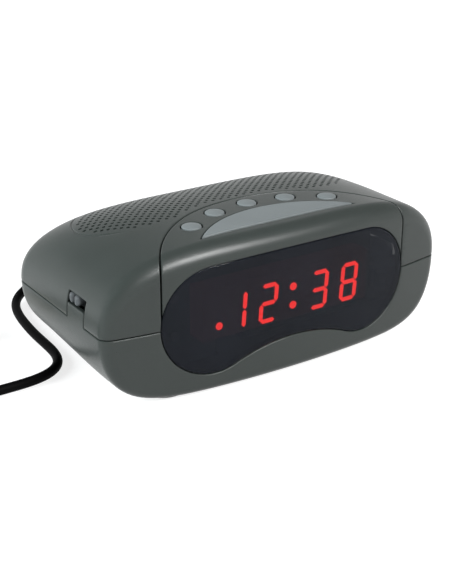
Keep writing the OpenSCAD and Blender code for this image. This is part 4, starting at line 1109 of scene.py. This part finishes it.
makeUpperShell()
makeLowerShell()
makePlinth()
makePanel()
print("case shells made")
makeUnderside()
makeWindow()
makeSnooze()
makeButtons()
makeSlide("function_slide", "function_switch_knob", -1, "knob_plastic")
makeSlide("band_slide", "band_switch_knob", 1, "dark_plastic")
makeWheel("volume_knurl", "volume_wheel")
makeWheel("tuning_knurl", "tuning_wheel")
print("window, keys, knobs and wheels made")


# Floor and lights: a white floor and horizon under a dimmer ceiling, a large lamp at the left that
# no reflection shows, a weak one above, a small one at the front right, and an even sky
studio = {
    "sky": 0.15, "ceiling": 0.28, "ceilingFrom": 0.24, "ceilingTo": 0.42, "target": (0, 0, 0.03),
    "floor": (0.3, 0.3, 0.3), "floorHalf": 6.0, "floorZ": -0.0002,
    "nearGlow": 0.79, "near": 0.35, "far": 1.3,
}
lampKeys = ("place", "power", "size", "colour", "mirrored")
lamps = {
    "side": ((-1.8, 0.55, 0.8), 100.0, (1.9, 1.3), (0.93, 0.98, 1.0), False),
    "over": ((0.1, -0.5, 1.4), 2.0, (1.1, 0.4), (1.0, 1.0, 1.0), True),
    "front": ((0.24, -1.02, 0.93), 27.0, (0.62, 0.4), (1.0, 1.0, 1.0), True),
}


def makeLamp(name, form):
    data = bpy.data.lights.new(name, "AREA")
    data.shape = "RECTANGLE"
    data.energy = form["power"]
    data.color = form["colour"]
    data.size, data.size_y = form["size"]
    lamp = addObject(name, data)
    lamp.visible_glossy = form["mirrored"]
    aimAt(lamp, form["place"], studio["target"])


def directRay(tree):
    # 1 for rays from the camera, a reflection or a clear surface, 0 for light that bounces about
    path = tree.nodes.new("ShaderNodeLightPath")
    seen = Link(tree, path.outputs["Is Camera Ray"])
    for name in ("Is Glossy Ray", "Is Transmission Ray"):
        seen = seen.maths("MAXIMUM", seen, Link(tree, path.outputs[name]))
    return seen


def makeFloor():
    # Pale floor that glows for direct rays only, a little less near the part
    f = studio
    mesh = bpy.data.meshes.new("floor")
    far = f["floorHalf"]
    corners = [(-far, -far), (far, -far), (far, far), (-far, far)]
    mesh.from_pydata([(x, y, f["floorZ"]) for x, y in corners], [], [(0, 1, 2, 3)])
    addObject("floor", mesh)
    made = Surface("floor_pale")
    made.paint(made.noise(90.0).ramp(0.3, 0.7), f["floor"], -0.01, 0.01)
    distance = made.make(
        "ShaderNodeVectorMath", {"operation": "LENGTH"}, {0: made.place}, out=1)
    rise = distance.ramp(f["near"], f["far"]) * (1 - f["nearGlow"])
    glow = directRay(made.tree) * (rise + f["nearGlow"])
    made.put({"Emission Color": glow.blend((0, 0, 0, 1), (1, 1, 1, 1)), "Emission Strength": 1.0,
              "Roughness": 0.9, "Specular IOR Level": 0.0})
    mesh.materials.append(made.material)


def makeSky():
    # White horizon that dims towards the ceiling for direct rays, and an even sky for the rest
    world = bpy.data.worlds.new("studio")
    scene.world = world
    world.use_nodes = True
    tree = world.node_tree
    background = next(n for n in tree.nodes if n.type == "BACKGROUND")
    start = Link(tree)
    direction = start.make("ShaderNodeTexCoord")
    height = start.make("ShaderNodeSeparateXYZ", None, {0: direction}, out=2)
    dim = height.ramp(studio["ceilingFrom"], studio["ceilingTo"]) * (1 - studio["ceiling"])
    seen = directRay(tree)
    strength = seen * (1.0 - dim) + (1.0 - seen) * studio["sky"]
    setSocket(background.inputs["Color"], (1, 1, 1, 1))
    setSocket(background.inputs["Strength"], strength)
    scene.view_settings.view_transform = "Standard"


makeFloor()
for lampName, row in lamps.items():
    makeLamp(lampName, dict(zip(lampKeys, row)))
makeSky()
print("studio made")
